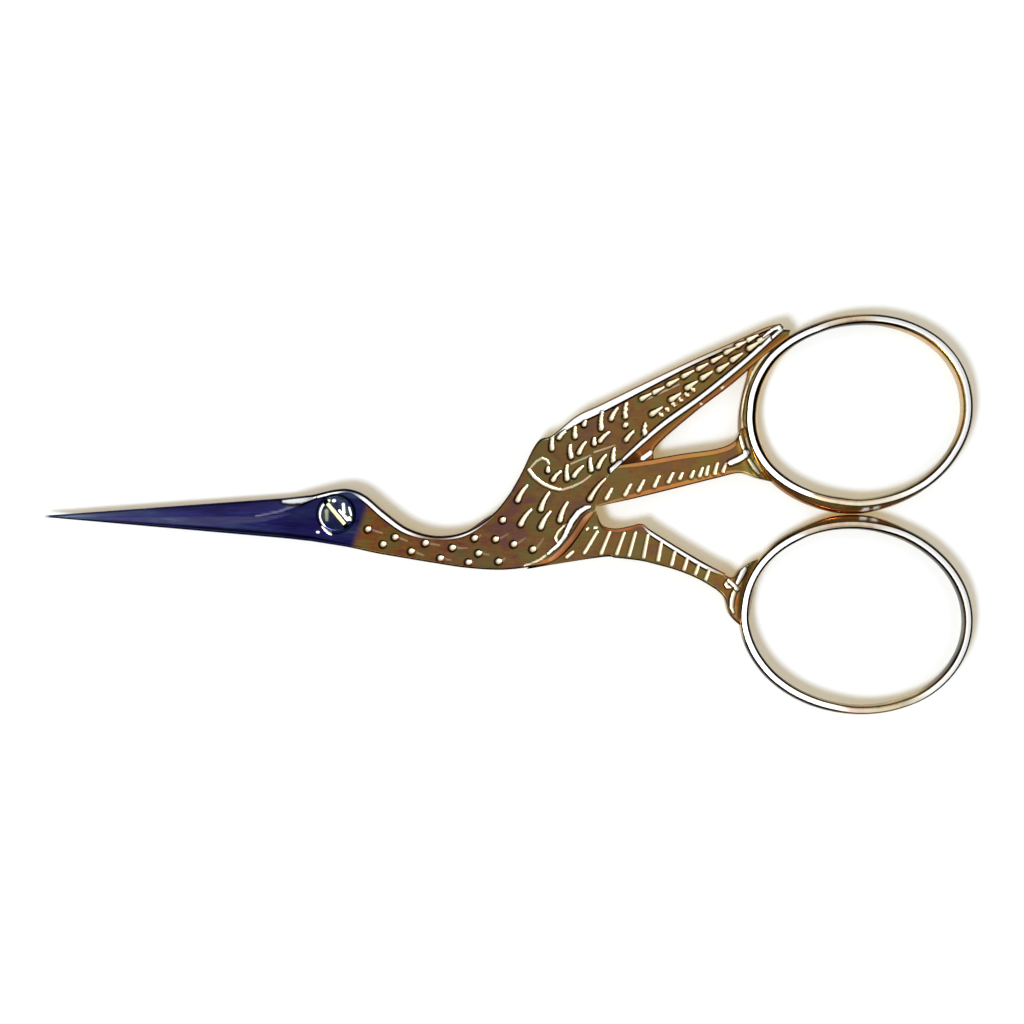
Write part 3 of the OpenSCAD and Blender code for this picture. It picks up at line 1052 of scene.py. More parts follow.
@dataclass
class FrontHalf:
    """The upper half: blade, head, neck, body, wing, tail and upper bow.

    Attributes:
        bow: The upper finger bow.
        rim_depth: Depth of the web under the wing.
        strut_depth: Depth of the strap along the bow.
        claw_depth: Depth of the tail's end, inside the wire.
    """

    bow: FingerBow = field(
        default_factory=lambda: FingerBow(
            "upper_finger_bow",
            Part.FRONT,
            centre=(50.53, 9.87),
            tilt=9.0,
            length=21.36,
            height=17.95,
            stations=[
                (0, -0.05, 1.0, 0.1, 0.5, -0.72), (24, 0.1, 1.0, 0.3, 0.56, -0.66),
                (36, 0.13, 1.0, 0.6, 0.62, -0.62), (60, 0.08, 1.0, 1.0, 0.58, -0.58),
                (72, 0.03, 0.9, 1.0, 0.54, -0.56), (79, 0.0, 0.35, 1.0, 0.5, -0.56),
                (86, -0.03, 0.2, 1.0, 0.5, -0.56), (98, -0.06, 0.5, 1.0, 0.5, -0.54),
                (105, -0.1, 1.0, 1.0, 0.48, -0.56), (120, 0.03, 1.0, 1.0, 0.54, -0.52),
                (134, 0.12, 1.0, 1.0, 0.6, -0.62), (156, 0.0, 0.95, 1.0, 0.52, -0.9),
                (168, -0.08, 1.0, 1.0, 0.48, -0.92), (192, -0.05, 1.0, 1.0, 0.52, -0.86),
                (206, -0.08, 1.0, 1.0, 0.6, -0.7), (228, -0.25, 1.0, 1.0, 0.7, -0.74),
                (233, -0.28, 0.9, 1.0, 0.72, -0.74), (238, -0.3, 0.3, 0.5, 0.74, -0.74),
                (252, -0.28, 0.3, 0.8, 0.85, -0.74), (264, -0.15, 0.4, 0.4, 0.85, -0.6),
                (276, -0.1, 0.5, 0.6, 0.7, -0.6), (288, -0.03, 0.8, 0.6, 0.6, -0.58),
                (300, 0.0, 1.0, 0.9, 0.52, -0.6), (324, -0.1, 1.0, 0.8, 0.48, -0.66),
                (340, -0.06, 1.0, 0.3, 0.48, -0.7),
            ],
            bare=(128.0, 202.0),
            glints=(265.0, 266.5, 270.5, 272.0),
        )
    )
    rim_depth: float = 2.0
    strut_depth: float = 1.8
    claw_depth: float = 1.2

    def ground_blade(self) -> list[Relief]:
        """The ground blade: a painted highlight on the heel, a paler band of painted reflection
        along its middle and painted shade on the edge below.
        """
        heel = path([
            (-5.1, 1.24, 0.2), (-4.4, 1.3, 0.34), (-3.3, 1.38, 0.36), (-2.5, 1.55, 0.24),
            (-2.0, 1.7, 0.14),
        ])
        band = path([
            (-27.0, -0.42, 0.1), (-20.0, -0.6, 0.4), (-12.0, -0.75, 0.6), (-7.0, -0.5, 0.3),
            (-4.5, 0.0, 0.08),
        ])
        hollow = path([(-7.7, -0.2, 0.12), (-5.6, 0.2, 0.13), (-4.2, 0.7, 0.13), (-3.5, 1.0, 0.12)])
        shaded = path([
            (-28.3, -0.31, 0.12), (-15.0, -1.42, 0.6), (-5.0, -2.28, 0.7), (-2.3, -2.6, 0.66),
            (2.3, -3.45, 0.4),
        ])
        # a painted highlight along the hollow's edge and a small one on the head as well
        return [
            Relief(band, 0.0, Trace.SHINE, 0.035),
            Relief(hollow, 0.0, Trace.SHINE, 0.12),
            Relief(shaded, 0.0, Trace.DARK, 0.95),
            Relief(heel, 0.1, Trace.SHINE, 1.0, 1.0),
            Relief([(-1.8, -1.75, 0.16, -1.7, -1.75, 0.16)], 0.0, Trace.SHINE, 0.6),
        ]

    def plumage(self) -> list[Relief]:
        """The graver's drops, scrolls and feather marks from the neck to the wing's tip."""
        drops = [(x, y, 0.28, x + 0.06, y, 0.25) for x, y, _, _ in NECK_DROPS]
        tails = bars([(x + 0.25, y - 0.02, u, v) for x, y, u, v in NECK_DROPS], 0.15, 0.1)
        breast = commas([*BREAST_COMMAS, TAIL_COMMA], 0.14, 0.26)
        return [
            Relief(tails, 0.0, Trace.CUT, 0.16),
            Relief(drops, GRAVED, Trace.CUT, 1.0, 1.0),
            Relief(SHOULDER_HATCH, 0.0, Trace.CUT, 0.35, 0.3),
            Relief(FAINT_SCROLL, -0.2, Trace.CUT, 0.45, 0.5),
            Relief(SHOULDER_SCROLL, -0.3, Trace.CUT, 0.9, 0.9),
            Relief(breast, GRAVED, Trace.CUT, 1.0, 1.0),
            Relief(commas(WING_COMMAS, 0.15, 0.23), GRAVED, Trace.CUT, 1.0, 1.0),
            Relief(flight_feathers(), GRAVED, Trace.CUT, 1.0, 1.0),
        ]

    def curl(self) -> list[Relief]:
        """The curl of feathers where the body ends over the leg: its slope with a painted
        highlight, its ring and its crest with a painted highlight.
        """
        slope = path([
            (20.6, -4.45, 0.12), (21.7, -3.5, 0.2), (22.6, -2.5, 0.24), (23.3, -1.5, 0.22),
            (24.0, -0.45, 0.2), (24.6, 0.2, 0.12),
        ])
        ring = path([
            (22.45, -0.85, 0.12), (21.95, -1.2, 0.12), (21.45, -1.7, 0.12), (21.2, -2.25, 0.12),
            (21.4, -2.68, 0.12), (21.8, -2.5, 0.12), (22.05, -2.0, 0.1),
        ])
        foot = path([
            (18.2, -5.0, 0.1), (18.9, -4.75, 0.13), (19.69, -4.4, 0.15), (20.52, -3.77, 0.13),
        ])
        crest = path([
            (20.52, -3.77, 0.14), (21.5, -2.94, 0.18), (22.1, -2.1, 0.21), (22.75, -0.72, 0.25),
            (23.4, 0.15, 0.25), (24.1, 0.62, 0.2), (24.5, 0.72, 0.14),
        ])
        return [
            Relief(slope, 0.0, Trace.CUT, 0.18),
            Relief(ring, 0.4, Trace.CUT, 0.9, 0.9),
            Relief(foot, RAISED, Trace.CUT, 0.6, 0.5),
            Relief(crest, RAISED, Trace.SHINE, 1.0, 1.0),
        ]

    def screw_seat(self) -> list[Relief]:
        """Painted shade in the line round the screw's head, and a painted reflection of the seat's
        edge at its lower left.
        """
        # the seat's edge at the head's lower left: a raised painted reflection
        worn = path([
            (-1.32, -1.2, 0.1), (-1.1, -1.46, 0.13), (-0.8, -1.74, 0.14), (-0.5, -1.93, 0.13),
        ])
        return [
            Relief(arc((0.0, 0.0), 1.87, range(0, 361, 6), 0.12), 0.0, Trace.DARK, 0.95),
            Relief(worn, RAISED, Trace.CUT, 0.9),
        ]

    def bird(self) -> Forging:
        """The bird from beak to wing tip: the half's upper layer."""
        layer = {"bottom": LAP_BOTTOM, "under": 0.03}
        # the crest, the leading bevel and the ridge carry painted highlights; the other edges carry
        # painted shade
        crest = [Edge(w + 0.05, BURNISHED * (w - 0.2), 0.26, shine=s, line=s) for w, s in CREST]
        hip = [
            Edge(0.3, 0.02, 0.15, shade=0.7),
            Edge(0.55, 0.14, 0.1, copper=0.9, line=0.4, outline=0.7),
            *[Edge(w, 0.2, 0.1, copper=1.0, line=0.8, outline=0.7) for w in (0.7, 0.68)],
            Edge(0.1, 0.0, 0.004, outline=0.0),
        ]
        leading = [
            Edge(w, BURNISHED * (w - 0.14), 0.14, shine=s, line=1.0, shade=0.1, outline=0.4)
            for w, s in LEADING
        ]
        ridge = Edge(0.6, -0.07, 0.18, shine=1.0, line=1.0)
        trailing = [
            HIDDEN,
            Edge(0.4, -0.06, 0.12, shine=0.9, line=0.8, outline=0.9),
            *[ridge] * 4,
            Edge(0.36, -0.06, 0.12, shine=0.8, line=0.6, outline=0.9),
        ]
        back = Edge(0.3, 0.0, 0.2, shade=0.6)
        shoulder = [back] * 4 + [Edge(0.3, 0.04, 0.14, shine=0.5, line=0.6, outline=0.7)]
        ridge_end = path([
            (42.3, 17.1, 0.2), (42.9, 17.75, 0.21), (42.75, 18.05, 0.19), (42.2, 17.85, 0.15),
            (41.3, 17.15, 0.1),
        ])
        return Forging(
            "front_blade_and_bird",
            Part.FRONT,
            pairs(HEAD_AND_NECK, crest, Edge(0.32, shade=0.8), **layer)
            + pairs(BREAST, shoulder, hip, **layer)
            + pairs(WING, leading, trailing, **layer),
            straight=Blade().rows(Part.FRONT),
            steps=28,
            straight_steps=12,
            across=90,
            reliefs=[
                *self.ground_blade(),
                *self.plumage(),
                *self.curl(),
                # painted highlights on the ridge's raised end, and where the body, the leg and the
                # tail meet
                Relief(ridge_end, RAISED, Trace.SHINE, 1.0, 1.0),
                Relief([(26.7, 4.27, 0.3, 27.4, 4.9, 0.28)], 0.12, Trace.SHINE, 1.0, 1.0),
                *self.screw_seat(),
            ],
        )

    def wing_underside(self) -> Forging:
        """The lower layer behind the shoulder and the wing."""
        ends = [
            ((16.75, 1.95), (25.0, 0.95)),
            ((17.9, 4.0), (25.2, 1.6)),
            ((19.3, 6.75), (25.5, 2.4)),
            ((20.9, 7.65), (25.9, 3.0)),
            *WING,
        ]
        rows = pairs(ends, HIDDEN, HIDDEN, top=LAP_BOTTOM + 0.01)
        return Forging("wing_underside", Part.FRONT, rows, steps=12)

    def wing_rim(self) -> Forging:
        """The web under the wing's trailing edge, which carries the wing to the bow."""
        ends = [
            ((25.9, 5.4), (27.4, 4.1)),
            ((27.6, 7.0), (30.4, 5.0)),
            ((29.4, 8.6), (31.0, 6.6)),
            ((33.3, 11.5), (34.7, 9.85)),
            ((36.7, 14.0), (38.2, 12.5)),
            (self.bow.place(130, 1.9), self.bow.place(139, 0.85)),
            (self.bow.place(122, 1.55), self.bow.place(129, 0.5)),
            (self.bow.place(117.5, 1.0), self.bow.place(121, 0.4)),
        ]
        # painted shade in the pocket behind the ridge, a painted highlight past it and painted
        # shade along the lower edge
        pocket = [(27.4, 4.9, 0.6, 29.0, 5.5, 0.6)]
        lower = Edge(0.36, 0.03, 0.14, copper=0.7, shade=0.45, outline=0.9)
        dots = [(35.25, 10.6, 0.15, 35.3, 10.65, 0.14), (37.3, 12.2, 0.14, 37.35, 12.25, 0.13)]
        return Forging(
            "wing_rim",
            Part.FRONT,
            pairs(ends, PLAIN, lower, **centred(self.rim_depth)),
            across=40,
            reliefs=[
                Relief(pocket, -0.1, Trace.DARK, 0.85),
                Relief([(29.65, 5.4, 0.24, 30.4, 5.95, 0.22)], 0.12, Trace.SHINE, 1.0, 0.6),
                Relief(dots, 0.3, Trace.CUT, 1.0),
            ],
            copper=0.75,
        )

    def bow_strut(self) -> Forging:
        """The strap that runs along the bow from the tail to the wing."""
        place = self.bow.place
        ends = [
            (place(183, 1.2), place(185)),
            (place(173, 1.0), place(173)),
            (place(162, 0.92), place(162)),
            (place(152, 1.02), place(152)),
            (place(144, 1.3), place(142)),
            (place(132, 1.5), place(131)),
            (place(121, 1.4), place(121)),
        ]
        strap = Edge(0.3, 0.08, 0.1, copper=0.5, outline=0.6)
        # a painted highlight along the strap, and painted shade in the crease beside the bow
        light = path([(*place(a, 0.72), 0.13) for a in range(132, 182, 4)])
        crease = path([(*place(a, 0.52), 0.1) for a in range(118, 182, 4)])
        return Forging(
            "bow_strut",
            Part.FRONT,
            pairs(ends, strap, PLAIN, **centred(self.strut_depth)),
            across=32,
            reliefs=[Relief(light, 0.3, Trace.CUT, 0.75), Relief(crease, -0.3, Trace.DARK, 0.9)],
            copper=0.3,
        )

    def tail(self) -> Forging:
        """The barred tail, with a claw at its end that grips the bow."""
        lower = Edge(0.5, 0.1, 0.14, copper=0.4, outline=0.9)
        upper = Edge(0.5, 0.1, 0.12, copper=0.25, line=0.25, outline=0.7)
        soft = Edge(0.24, 0.03, 0.12, shade=0.3, outline=0.8)
        # the raised claw carries a painted highlight, and the soft edges painted shade
        claw = path([(38.1, 4.95, 0.25), (38.8, 5.25, 0.28), (39.5, 5.68, 0.26), (39.6, 5.9, 0.32)])
        upper_toes = path([(39.0, 7.5, 0.13), (39.2, 6.8, 0.16), (39.45, 6.05, 0.16)])
        upper_toes += path([(39.55, 7.35, 0.08), (39.75, 6.7, 0.12), (39.95, 5.95, 0.12)])
        lower_toes = path([(39.85, 5.24, 0.15), (40.35, 4.5, 0.2), (40.8, 3.9, 0.12)])
        lower_toes += path([(40.4, 5.2, 0.08), (40.8, 4.6, 0.11), (41.15, 4.1, 0.07)])
        rows = pairs(
            TAIL,
            [HIDDEN, *[upper] * 4, soft, soft],
            [HIDDEN, *[lower] * 3, soft, soft, soft],
            **centred(DEPTH - 2 * HAIR),
        )
        rows[-2] = replace(rows[-2], bulge=(-0.1, -0.05))
        rows[-1] = replace(rows[-1], **centred(self.claw_depth), bulge=(-0.35, -0.15))
        return Forging(
            "tail",
            Part.FRONT,
            rows,
            steps=40,
            across=72,
            reliefs=[
                Relief(commas([TAIL_COMMA], 0.09, 0.2), GRAVED, Trace.CUT, 1.0, 0.8),
                Relief(TAIL_BARS, GRAVED, Trace.CUT, 1.0, 0.7),
                Relief(lower_toes, RAISED, Trace.CUT, 1.0, 0.8),
                Relief(upper_toes, RAISED, Trace.CUT, 1.0, 0.8),
                Relief(claw, RAISED, Trace.SHINE, 1.0, 0.9),
            ],
            both_faces=True,
        )

    def build(self) -> list[bpy.types.Object]:
        """Builds every piece of the half."""
        parts = [self.bird(), self.wing_underside(), self.wing_rim(), self.bow_strut(), self.tail()]
        return [piece.build() for piece in (*parts, self.bow)]


@dataclass
class BackHalf:
    """The lower half: blade, the lap behind the bird, leg, foot and lower bow.

    Attributes:
        bow: The lower finger bow.
        leg_depth: Depth of the leg.
        foot_depth: Depth of the foot.
        sole_depth: Depth of the foot where it meets the wire.
        toe_depth: Depth of the foot's end, inside the wire.
    """

    bow: FingerBow = field(
        default_factory=lambda: FingerBow(
            "lower_finger_bow",
            Part.BACK,
            centre=(50.3, -9.92),
            tilt=-7.0,
            length=21.7,
            height=17.95,
            stations=[
                (0, 0.0, 1.0, 0.8, 0.52, -0.48), (24, 0.0, 1.0, 1.0, 0.52, -0.52),
                (48, -0.05, 1.0, 1.0, 0.5, -0.56), (70, 0.0, 1.0, 1.0, 0.56, -0.58),
                (80, -0.04, 0.8, 1.0, 0.74, -0.58), (88, -0.07, 0.35, 1.0, 0.87, -0.56),
                (108, -0.1, 0.3, 1.0, 0.83, -0.54), (122, -0.1, 0.5, 0.9, 0.62, -0.54),
                (129, -0.1, 1.0, 1.0, 0.54, -0.6), (156, -0.03, 1.0, 1.0, 0.56, -0.52),
                (180, 0.0, 1.0, 1.0, 0.58, -0.5), (192, 0.1, 1.0, 1.0, 0.58, -0.42),
                (228, 0.1, 1.0, 1.0, 0.62, -0.4), (252, 0.02, 1.0, 0.7, 0.56, -0.46),
                (264, 0.0, 0.9, 0.5, 0.52, -0.46), (273, 0.07, 0.4, 0.5, 0.5, -0.42),
                (300, 0.1, 0.3, 0.3, 0.5, -0.42), (309, 0.15, 0.6, 0.3, 0.52, -0.4),
                (316, 0.14, 1.0, 0.7, 0.56, -0.4), (340, 0.06, 1.0, 1.0, 0.54, -0.44),
            ],
            bare=(140.0, 204.0),
            glints=(86.5, 88.0, 92.0, 93.5),
        )
    )
    leg_depth: float = 2.6
    foot_depth: float = 2.4
    sole_depth: float = 2.0
    toe_depth: float = 1.1

    def lap(self) -> Forging:
        """The lower layer: the back blade and what lies behind the head, neck and hip."""
        hip = [
            ((17.8, 0.5), (18.2, -5.2)),
            ((20.2, 0.7), (20.4, -4.8)),
            ((22.6, 0.5), (22.2, -4.45)),
            ((24.5, -0.1), (24.0, -4.25)),
        ]
        return Forging(
            "back_blade_and_hip",
            Part.BACK,
            pairs(HEAD_AND_NECK + hip, HIDDEN, HIDDEN, top=LAP_TOP)
            + [Row(*LEG[0], HIDDEN, HIDDEN, LAP_TOP, centred(self.leg_depth)["bottom"])],
            straight=Blade().rows(Part.BACK),
            steps=12,
            straight_steps=6,
            across=12,
        )

    def leg(self) -> Forging:
        """The barred leg, which comes out from behind the curl of the body."""
        thigh = Edge(0.34, 0.08, 0.12, copper=0.6, line=0.2, outline=0.6)
        # the shin's bevel carries a painted highlight, and the dots are painted highlights on the
        # thigh's upper edge
        shin = Edge(0.52, 0.04, 0.2, shine=1.0, line=1.0)
        ankle = Edge(0.26, 0.04, 0.12, copper=0.4, outline=0.6)
        dots = [(24.25, -1.45, 0.13, 24.35, -1.35, 0.12), (25.0, -1.3, 0.13, 25.2, -1.3, 0.12)]
        slim = centred(self.leg_depth)
        return Forging(
            "leg",
            Part.BACK,
            [
                Row((25.1, 0.3), (18.4, -5.3), HIDDEN, HIDDEN, bulge=(0.9, -0.7), **slim),
                *pairs(LEG, [*[thigh] * 4, *[shin] * 3, ankle], PLAIN, **slim),
            ],
            steps=36,
            across=72,
            reliefs=[
                Relief(LEG_BARS, GRAVED, Trace.CUT, 0.95, 0.6),
                Relief(dots, 0.3, Trace.CUT, 1.0, 0.5),
            ],
            both_faces=True,
            skew=0.62,
        )

    def foot(self) -> Forging:
        """The foot, whose toes grip the lower bow."""
        ends = [
            ((36.6, -5.25), (36.0, -6.8)),
            ((38.2, -6.15), (37.4, -7.95)),
            ((39.0, -5.35), (37.9, -9.5)),
            ((40.0, -4.7), (38.6, -10.4)),
            ((41.0, -4.3), (39.8, -11.3)),
        ]
        knob = arc((37.94, -6.78), 0.28, range(60, 301, 60), 0.16)
        bar = path([(37.9, -6.35, 0.14), (38.35, -6.8, 0.16), (38.8, -7.25, 0.18)])
        # painted highlights on the upper toe, its tip and the bar
        upper_toe = path([
            (38.78, -6.62, 0.19), (39.05, -6.1, 0.25), (39.3, -5.6, 0.28), (39.48, -5.3, 0.22),
        ])
        toe_tip = path([(39.5, -4.98, 0.22), (39.66, -4.88, 0.2)])
        lower_toe = path([
            (38.66, -7.2, 0.2), (38.4, -7.7, 0.22), (38.25, -8.25, 0.22), (38.2, -9.0, 0.2),
            (38.4, -9.5, 0.13),
        ])
        rows = pairs(
            ends,
            Edge(0.25, 0.03, 0.12, copper=0.4, shade=0.2, outline=0.8),
            PLAIN,
            **centred(self.foot_depth),
        )
        rows[-2] = replace(rows[-2], **centred(self.sole_depth), bulge=(-0.15, 0.0))
        rows[-1] = replace(rows[-1], **centred(self.toe_depth), bulge=(-0.5, 0.05))
        return Forging(
            "foot",
            Part.BACK,
            rows,
            steps=34,
            across=56,
            reliefs=[
                Relief([(38.62, -8.2, 0.22, 38.62, -8.75, 0.2)], 0.0, Trace.COPPER, 1.0),
                Relief([(36.98, -6.5, 0.13, 37.0, -6.5, 0.13)], 0.3, Trace.CUT, 0.9, 0.5),
                Relief(knob, RAISED, Trace.CUT, 1.0, 0.9),
                Relief(toe_tip, RAISED, Trace.SHINE, 0.6, 0.8),
                Relief(lower_toe, RAISED, Trace.CUT, 1.0, 0.9),
                Relief(upper_toe, RAISED, Trace.SHINE, 1.0, 0.9),
                Relief(bar, RAISED, Trace.SHINE, 0.9, 0.9),
            ],
        )

    def build(self) -> list[bpy.types.Object]:
        """Builds every piece of the half."""
        return [piece.build() for piece in (self.lap(), self.leg(), self.foot(), self.bow)]


@dataclass
class PivotScrew:
    """The slotted screw: a low cheese head, a shank for the front half and a peened end.

    Attributes:
        head_diameter: The head's diameter.
        head_height: The head's height.
        seat: Height of the seat in the front half.
        shank_diameter: Diameter of the shank.
        thread_diameter: Diameter of the thread.
        slot_width: Width of the slot.
        slot_depth: Depth of the slot.
        slot_angle: Direction of the slot, in degrees.
        slot_highlight_reach: How far from the axis the slot's floor carries a painted highlight.
    """

    head_diameter: float = 3.5
    head_height: float = 0.75
    seat: float = DEPTH - 0.3
    shank_diameter: float = 1.8
    thread_diameter: float = 1.4
    slot_width: float = 0.45
    slot_depth: float = 0.3
    slot_angle: float = -50.0
    slot_highlight_reach: float = 1.32

    def profile(self) -> list[tuple[float, float]]:
        """Half the turned section, as radius and height from the peened end to the top."""
        r, top = self.head_diameter / 2, self.seat + self.head_height
        peen = self.thread_diameter / 2 + 0.3
        chamfer = [(0.0, 0.3), (0.03, 0.18), (0.08, 0.08), (0.14, 0.02), (0.2, 0.0)]
        dish = [(x, top - 0.06 * (1 - x / (r - 0.26)) ** 0.8) for x in np.linspace(r - 0.26, 0, 22)]
        return [
            (0, 0.0), (peen - 0.2, 0.0), (peen, 0.08), (self.thread_diameter / 2, 0.4),
            (self.thread_diameter / 2, LAP_TOP), (self.shank_diameter / 2, LAP_TOP),
            (self.shank_diameter / 2, self.seat), (r, self.seat),
            *[(r - inward, top - down) for inward, down in chamfer],
            *dish,
        ]

    def painted_head_highlights(self) -> list[Relief]:
        """Painted highlights on the head: a pale bar on its left, glints beside the slot and a
        crescent along its rim.
        """
        rim = arc((0.0, -0.1), 1.55, range(114, 228, 6), 0.15)
        head_glints = [
            (0.74, 0.95, 0.15, 0.8, 0.15, 0.16), (0.35, 0.35, 0.12, 1.15, -0.5, 0.2),
            (1.3, -0.35, 0.16, 1.5, -0.6, 0.12), (1.3, 0.62, 0.08, 1.5, -0.1, 0.1),
            (-0.2, 1.3, 0.16, -0.1, 1.3, 0.16), (0.95, -1.15, 0.15, 1.2, -1.25, 0.14),
        ]
        return [
            Relief([(-0.88, 0.3, 0.24, -0.86, -0.55, 0.2)], 0.0, Trace.CUT, 0.4),
            Relief(head_glints, 0.1, Trace.SHINE, 1.0, 0.8),
            Relief(rim, 0.1, Trace.SHINE, 0.92, 0.6),
        ]

    def turned(self) -> bmesh.types.BMesh:
        """The profile, turned round the axis."""
        bm = bmesh.new()
        points = [bm.verts.new((x * MM, 0, z * MM)) for x, z in self.profile()]
        lines = [bm.edges.new(pair) for pair in zip(points, points[1:])]
        bmesh.ops.spin(
            bm,
            geom=points + lines,
            cent=(0, 0, 0),
            axis=(0, 0, 1),
            dvec=(0, 0, 0),
            angle=math.tau,
            steps=120,
            use_merge=True,
            use_duplicate=False,
        )
        bmesh.ops.remove_doubles(bm, verts=bm.verts, dist=MERGE)
        return bm

    def score(self, bm: bmesh.types.BMesh, across: Vector) -> None:
        """Cuts edges into the head along both walls of the slot.

        Args:
            bm: The turned screw.
            across: The direction across the slot.
        """
        half, top = self.slot_width / 2 * MM, (self.seat + self.head_height - 0.55) * MM
        for offset in (-half - 0.02 * MM, -half, half, half + 0.02 * MM):
            head = [f for f in bm.faces if f.calc_center_median().z > top]
            edges = dict.fromkeys(e for f in head for e in f.edges)
            verts = dict.fromkeys(v for f in head for v in f.verts)
            plane = {"plane_co": across * offset, "plane_no": across}
            bmesh.ops.bisect_plane(bm, geom=[*verts, *edges, *head], dist=1e-8, **plane)

    def work(self, bm: bmesh.types.BMesh, across: Vector) -> None:
        """Presses the painted highlights into the head, sinks the slot and paints shade on its lips
        and the head's rim.

        Args:
            bm: The screw, with the slot's walls scored.
            across: The direction across the slot.
        """
        half = self.slot_width / 2 * MM
        floor = (self.seat + self.head_height - self.slot_depth) * MM
        layers = {trace: bm.verts.layers.float.new(trace.value) for trace in Trace}
        upper = [v for v in bm.verts if v.co.z > floor]
        xy = np.array([(v.co.x / MM, v.co.y / MM) for v in upper])
        for relief in self.painted_head_highlights():
            depth, share, line = relief.press(xy)
            shown = np.clip(share / FULL_MARK, 0, 1)
            for v, deep, mark, shade in zip(upper, depth, shown, line):
                v.co.z += relief.slope * deep * MM
                v[layers[relief.trace]] = max(v[layers[relief.trace]], relief.tone * mark)
                dark = v[layers[Trace.DARK]] * (1 - mark)
                v[layers[Trace.DARK]] = max(dark, relief.rim * shade)
        for v in upper:
            off = abs(v.co.dot(across))
            if off < half + 0.005 * MM:
                # the slot's floor carries a painted highlight, but not at its ends, which carry
                # painted shade as its lips do
                bright = off < half * 0.9 and v.co.xy.length < self.slot_highlight_reach * MM
                v.co.z = floor
                v[layers[Trace.SHINE]] = v[layers[Trace.COPPER]] = 0.0
                v[layers[Trace.CUT]] = 0.95 * bright
                v[layers[Trace.DARK]] = float(not bright)
            elif off < half + 0.03 * MM:
                v[layers[Trace.DARK]] = 0.9
        # painted shade round the head's rim
        for v in bm.verts:
            out = self.head_diameter / 2 - math.hypot(v.co.x, v.co.y) / MM
            if out < 0.02 and v.co.z > LAP_TOP * MM:
                v[layers[Trace.DARK]] = 0.9

    def build(self) -> bpy.types.Object:
        """Turns the screw, mills its slot and returns the piece."""
        turn = math.radians(self.slot_angle)
        across = Vector((-math.sin(turn), math.cos(turn), 0))
        bm = self.turned()
        self.score(bm, across)
        self.work(bm, across)
        bmesh.ops.recalc_face_normals(bm, faces=bm.faces)
        for f in bm.faces:
            f.smooth = True
        for e in bm.edges:
            if len(e.link_faces) == 2 and e.calc_face_angle() > math.radians(35):
                e.smooth = False
        mesh = bpy.data.meshes.new("slotted_pivot_screw")
        bm.to_mesh(mesh)
        bm.free()
        piece = bpy.data.objects.new("slotted_pivot_screw", mesh)
        bpy.context.scene.collection.objects.link(piece)
        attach(piece, Part.BACK.value)
        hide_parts("pivot_screw")
        return piece


# --- finishes


FLOAT_MIX = {"data_type": "FLOAT"}
COLOUR_MIX = {"data_type": "RGBA"}
# Roughness of the traces. Cuts, and edges with painted highlights, are duller than the polish, so
# that they catch light from all round
WORN = {Trace.SHINE: 0.5, Trace.CUT: 0.5, Trace.DARK: 0.3}


def linear(hex_colour: str) -> tuple[float, float, float, float]:
    """Turns an sRGB hex colour, such as "#9b6347", into linear RGBA."""
    parts = [int(hex_colour[i : i + 2], 16) / 255 for i in (1, 3, 5)]
    return (*(c / 12.92 if c <= 0.04045 else ((c + 0.055) / 1.055) ** 2.4 for c in parts), 1.0)


def add(
    tree: bpy.types.NodeTree, kind: str, settings: dict[str, Any] | None = None, **inputs: Any
) -> bpy.types.Node:
    """Adds a node to a tree.

    Args:
        tree: The material's or world's tree.
        kind: The node's type.
        settings: The node's own settings.
        inputs: A value or a socket for each input, with _ for a space and iN for input number N.

    Returns:
        The new node.
    """
    node = tree.nodes.new(kind)
    for key, value in (settings or {}).items():
        setattr(node, key, value)
    for key, value in inputs.items():
        numbered = key[0] == "i" and key[1:].isdigit()
        socket = node.inputs[int(key[1:]) if numbered else key.replace("_", " ")]
        if isinstance(value, bpy.types.NodeSocket):
            tree.links.new(value, socket)
        else:
            socket.default_value = value
    return node


def ramp(node: bpy.types.Node, stops: Sequence[tuple[float, str]]) -> bpy.types.NodeSocket:
    """Sets a colour ramp's stops and returns its colour."""
    elements = node.color_ramp.elements
    while len(elements) < len(stops):
        elements.new(0.5)
    for element, (at, colour) in zip(elements, stops):
        element.position = at
        element.color = linear(colour)
    return node.outputs["Color"]


def spread(tints: Sequence[str], start: float, end: float) -> list[tuple[float, str]]:
    """Stops for a colour ramp, with the tints evenly spaced from start to end."""
    return list(zip(np.linspace(start, end, len(tints)).tolist(), tints))


